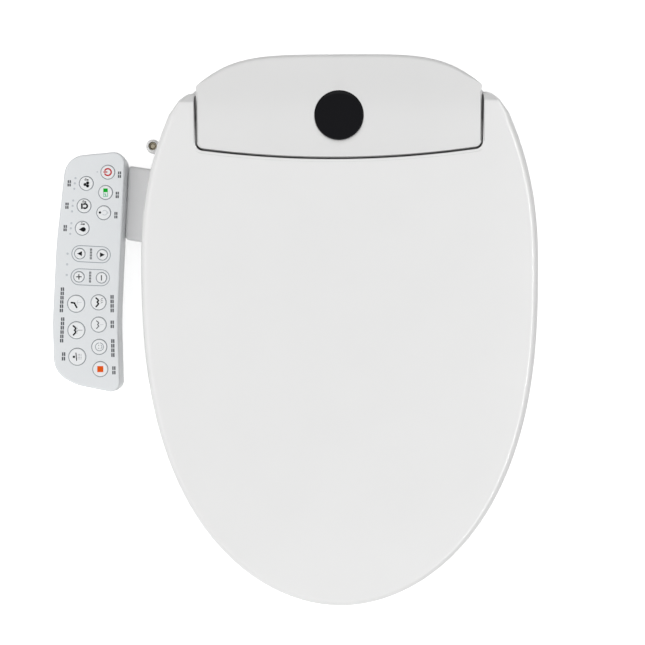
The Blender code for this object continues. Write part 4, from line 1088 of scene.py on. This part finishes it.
def stadium(first, last, radius, steps=20):
    """The outline round two points at one distance."""
    first, last = Vector(first), Vector(last)
    turn = math.atan2((last - first).y, (last - first).x)
    points = []
    for centre, start in ((last, turn - math.pi / 2), (first, turn + math.pi / 2)):
        for k in range(steps + 1):
            a = start + math.pi * k / steps
            points.append(centre + Vector((math.cos(a), math.sin(a))) * radius)
    return points


def label_bars(x, y_high, y_low, count, width, lean=0.0):
    """A column of short bars that stands for a label."""
    pitch = (y_high - y_low) / count
    bars = []
    for k in range(count):
        top = y_high - pitch * k
        shift = lean * k
        for first, last in ((-0.5, -0.08), (0.08, 0.5)):
            left, right = x + shift + first * width, x + shift + last * width
            foot = top - pitch * 0.82
            bars.append([Vector(p) for p in ((left, foot), (right, foot), (right, top), (left, top))])
    return bars


def make_panel():
    outline = panel_outline()
    bm = bmesh.new()
    rings = edge_rings(outline, [2 * MM] * len(outline), lambda x, y: PANEL_TOP, 6)
    made = [ring_of(bm, outline, PANEL_SEAM + 0.4 * MM)] + [ring_of(bm, o, z) for o, z in rings]
    skin(bm, made)
    bm.faces.new(made[-1])
    cover = piece("panel_face", bm, PANEL_WHITE)
    bake(bevel(solidify(cover, PANEL_WALL), 0.3 * MM, 2, 70))
    holes = [
        tool("hole", cylinder((x, y, 60 * MM), (x, y, 75 * MM), radius + 0.3 * MM, 72))
        for x, y, radius in key_places().values()
    ]
    bake(boolean(cover, "DIFFERENCE", *holes), holes)
    settle(cover, "housing", ["panel_cover"])

    bm = bmesh.new()
    made = []
    for k in range(8):
        angle = math.radians(90) * k / 7
        level = PANEL_FLOOR + 5 * MM * (1 - math.cos(angle))
        made.append(ring_of(bm, inset(outline, 0.8 * MM + 5 * MM * (1 - math.sin(angle))), level))
    floor = made[0]
    made.append(ring_of(bm, outline, PANEL_SEAM))
    skin(bm, made)
    bm.faces.new(floor[::-1])
    tray = piece("panel_tray", bm, PANEL_WHITE)
    bake(bevel(solidify(tray, PANEL_WALL), 0.3 * MM, 2, 70))
    slot = tool("slot", box((-225 * MM, -105.5 * MM, 31 * MM), (-205 * MM, -64.5 * MM, 41 * MM)))
    bake(boolean(tray, "DIFFERENCE", slot), [slot])
    settle(tray, "housing", ["panel_base"])


def make_prints():
    places = key_places()
    bm = bmesh.new()
    for x, y, radius in places.values():
        inner, outer = radius + 0.3 * MM, radius + 0.75 * MM
        band(bm, circle(x, y, outer, 64), circle(x, y, inner, 64), PANEL_TOP - 0.01 * MM, PANEL_TOP + INK)
    for first, last in (("nozzle_forward", "nozzle_back"), ("pressure_up", "pressure_down")):
        ends = [Vector(places[n][:2]) for n in (first, last)]
        wide, slim = stadium(*ends, 8.2 * MM), stadium(*ends, 7.5 * MM)
        band(bm, wide, slim, PANEL_TOP - 0.01 * MM, PANEL_TOP + INK)
    piece("print_key_rings", bm, INK_GREY, "housing", sharp=30)

    dots = []
    for name, rows in (
        ("air_heat", (5.2, 0.1, -5.2)), ("seat_heat", (5.2, 0.0, -5.4)), ("water_heat", (5.0, 0.0, -5.4)),
    ):
        x, y, _ = places[name]
        dots += [circle(x - 11.2 * MM + row * 0.12 * MM, y + row * MM, 1.1 * MM, 14) for row in rows]
    x, y, _ = places["nozzle_forward"]
    dots += [circle(x - 12.0 * MM - k * 0.5 * MM, y - k * 10.4 * MM, 1.2 * MM, 14) for k in range(3)]
    x, y, _ = places["power"]
    dots += [circle(x - 10.4 * MM, y + 0.3 * MM, 0.7 * MM, 14)]
    print_marks("print_dots", dots, PANEL_TOP, "housing", INK_PALE)

    bars = []
    for name, shift, count in (("power", 11.4, 2), ("eco", 11.4, 2), ("light", 11.9, 2)):
        x, y, _ = places[name]
        bars += label_bars(x + shift * MM, y + 0.6 * MM, y - 6.2 * MM, count, 3.0 * MM, -0.1 * MM)
    for name in ("air_heat", "seat_heat", "water_heat"):
        x, y, _ = places[name]
        bars += label_bars(x - 16.6 * MM, y + 3.2 * MM, y - 3.4 * MM, 2, 3.2 * MM, -0.2 * MM)
    for name, top, low, count in (
        ("front_wash", 16, -9, 6), ("rear_wash", 12.6, -12.6, 6), ("self_clean", 4.4, -4.4, 2),
    ):
        x, y, _ = places[name]
        bars += label_bars(x - 13.3 * MM, y + top * MM, y + low * MM, count, 3.2 * MM, -0.25 * MM)
    for name, top, low, count in (
        ("dry", 7, -10.6, 4), ("massage", 3.8, -4.2, 2), ("child", 7.4, -10.8, 4), ("stop", 2.6, -6.0, 2),
    ):
        x, y, _ = places[name]
        bars += label_bars(x + 13.2 * MM, y + top * MM, y + low * MM, count, 3.2 * MM)
    for first, last in (("nozzle_forward", "nozzle_back"), ("pressure_up", "pressure_down")):
        middle = (Vector(places[first][:2]) + Vector(places[last][:2])) / 2
        bars += label_bars(middle.x, middle.y + 5.6 * MM, middle.y - 5.6 * MM, 4, 1.9 * MM, -0.1 * MM)
    print_marks("print_label_bars", bars, PANEL_TOP, "housing", INK_DARK)


# ---------------------------------------------------------------- nozzles


def make_nozzles():
    """Dark discs painted in as the shade inside the spray holes near each nozzle's tip; the nozzles themselves
    stay CAD nodes.
    """
    for name in ("rear", "front"):
        low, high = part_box(name + "_nozzle")
        x = (low.x + high.x) / 2
        holes = [(0, 0), (1.6, 0), (-1.6, 0), (0.8, 1.4), (-0.8, 1.4), (0.8, -1.4), (-0.8, -1.4)]
        # Painted shade: each spray hole is a thin dark disc, not an opening.
        bm = bmesh.new()
        for u, v in holes:
            hole = circle(x + u * MM, 17 * MM + v * MM, 0.35 * MM, 12)
            prism(hole, 6.3 * MM, 6.55 * MM, bm)
        bmesh.ops.recalc_face_normals(bm, faces=bm.faces)
        bmesh.ops.transform(bm, matrix=frame_matrix(), verts=bm.verts)
        piece(name + "_nozzle_spray_shade_discs", bm, DARK_PLASTIC, "nozzle_" + name)


# ---------------------------------------------------------------- camera, lights, floor


def make_studio():
    scene = bpy.context.scene
    scene.view_settings.view_transform = "Standard"
    camera_data = bpy.data.cameras.new("camera")
    camera_data.sensor_width = 36
    camera_data.lens = CAMERA_LENS
    camera_data.clip_end = 50
    camera = bpy.data.objects.new("camera", camera_data)
    camera.location = CAMERA_PLACE
    camera.rotation_euler = (0, 0, CAMERA_TURN)
    scene.collection.objects.link(camera)
    scene.camera = camera

    world = bpy.data.worlds.new("studio")
    world.use_nodes = True
    background = world.node_tree.nodes["Background"]
    background.inputs["Color"].default_value = (1, 1, 1, 1)
    background.inputs["Strength"].default_value = 0.3
    scene.world = world

    for name, toward, spread_deg, strength in (
        ("top_softbox", (-0.25, -0.3, 1.0), 80, 1.34),
        ("left_softbox", (-1.0, -0.2, 0.9), 50, 0.55),
        ("front_softbox", (0.1, -1.0, 0.9), 50, 0.45),
        ("right_softbox", (1.0, 0.0, 1.0), 45, 0.25),
        ("rear_softbox", (0.0, 1.0, 1.2), 45, 0.12),
    ):
        data = bpy.data.lights.new(name, "SUN")
        data.angle = math.radians(spread_deg)
        data.energy = strength
        light = bpy.data.objects.new(name, data)
        light.visible_glossy = name != "top_softbox"
        light.rotation_euler = Vector(toward).to_track_quat("Z", "Y").to_euler()
        scene.collection.objects.link(light)

    data = bpy.data.lights.new("right_strip", "AREA")
    data.shape, data.size, data.size_y = "RECTANGLE", 3.0, 0.1
    data.energy = 22
    strip = bpy.data.objects.new("right_strip", data)
    strip.location = (0.9, -0.4, 1.6)
    strip.rotation_euler = Vector((0.9, 0.0, 1.6)).to_track_quat("Z", "Y").to_euler()
    strip.visible_diffuse = False
    scene.collection.objects.link(strip)

    floor_finish = surface("studio_floor", (0.92, 0.92, 0.92), 0.9, 0.004, grain=40, bump=0.0)
    shader = floor_finish.node_tree.nodes["Principled BSDF"]
    shader.inputs["Emission Color"].default_value = (1, 1, 1, 1)
    shader.inputs["Emission Strength"].default_value = 0.6
    bm = bmesh.new()
    bmesh.ops.create_grid(bm, x_segments=8, y_segments=8, size=6)
    floor = piece("studio_floor", bm, floor_finish)
    floor.location.z = -0.3 * MM
    floor.visible_diffuse = False


def finish_frame_nodes():
    """Procedural finishes for the CAD nodes that stay visible."""
    slots = {entry["node"]: entry["material_slot"] for entry in frame["record"]["subparts"]}
    for name, obj in frame["nodes"].items():
        obj.data.materials.clear()
        obj.data.materials.append(SLOT_FINISH[slots[name]])


finish_frame_nodes()
make_lid()
make_seat()
make_base()
make_cover()
make_inlet()
make_arm()
make_panel()
make_keys()
make_prints()
make_nozzles()
make_studio()
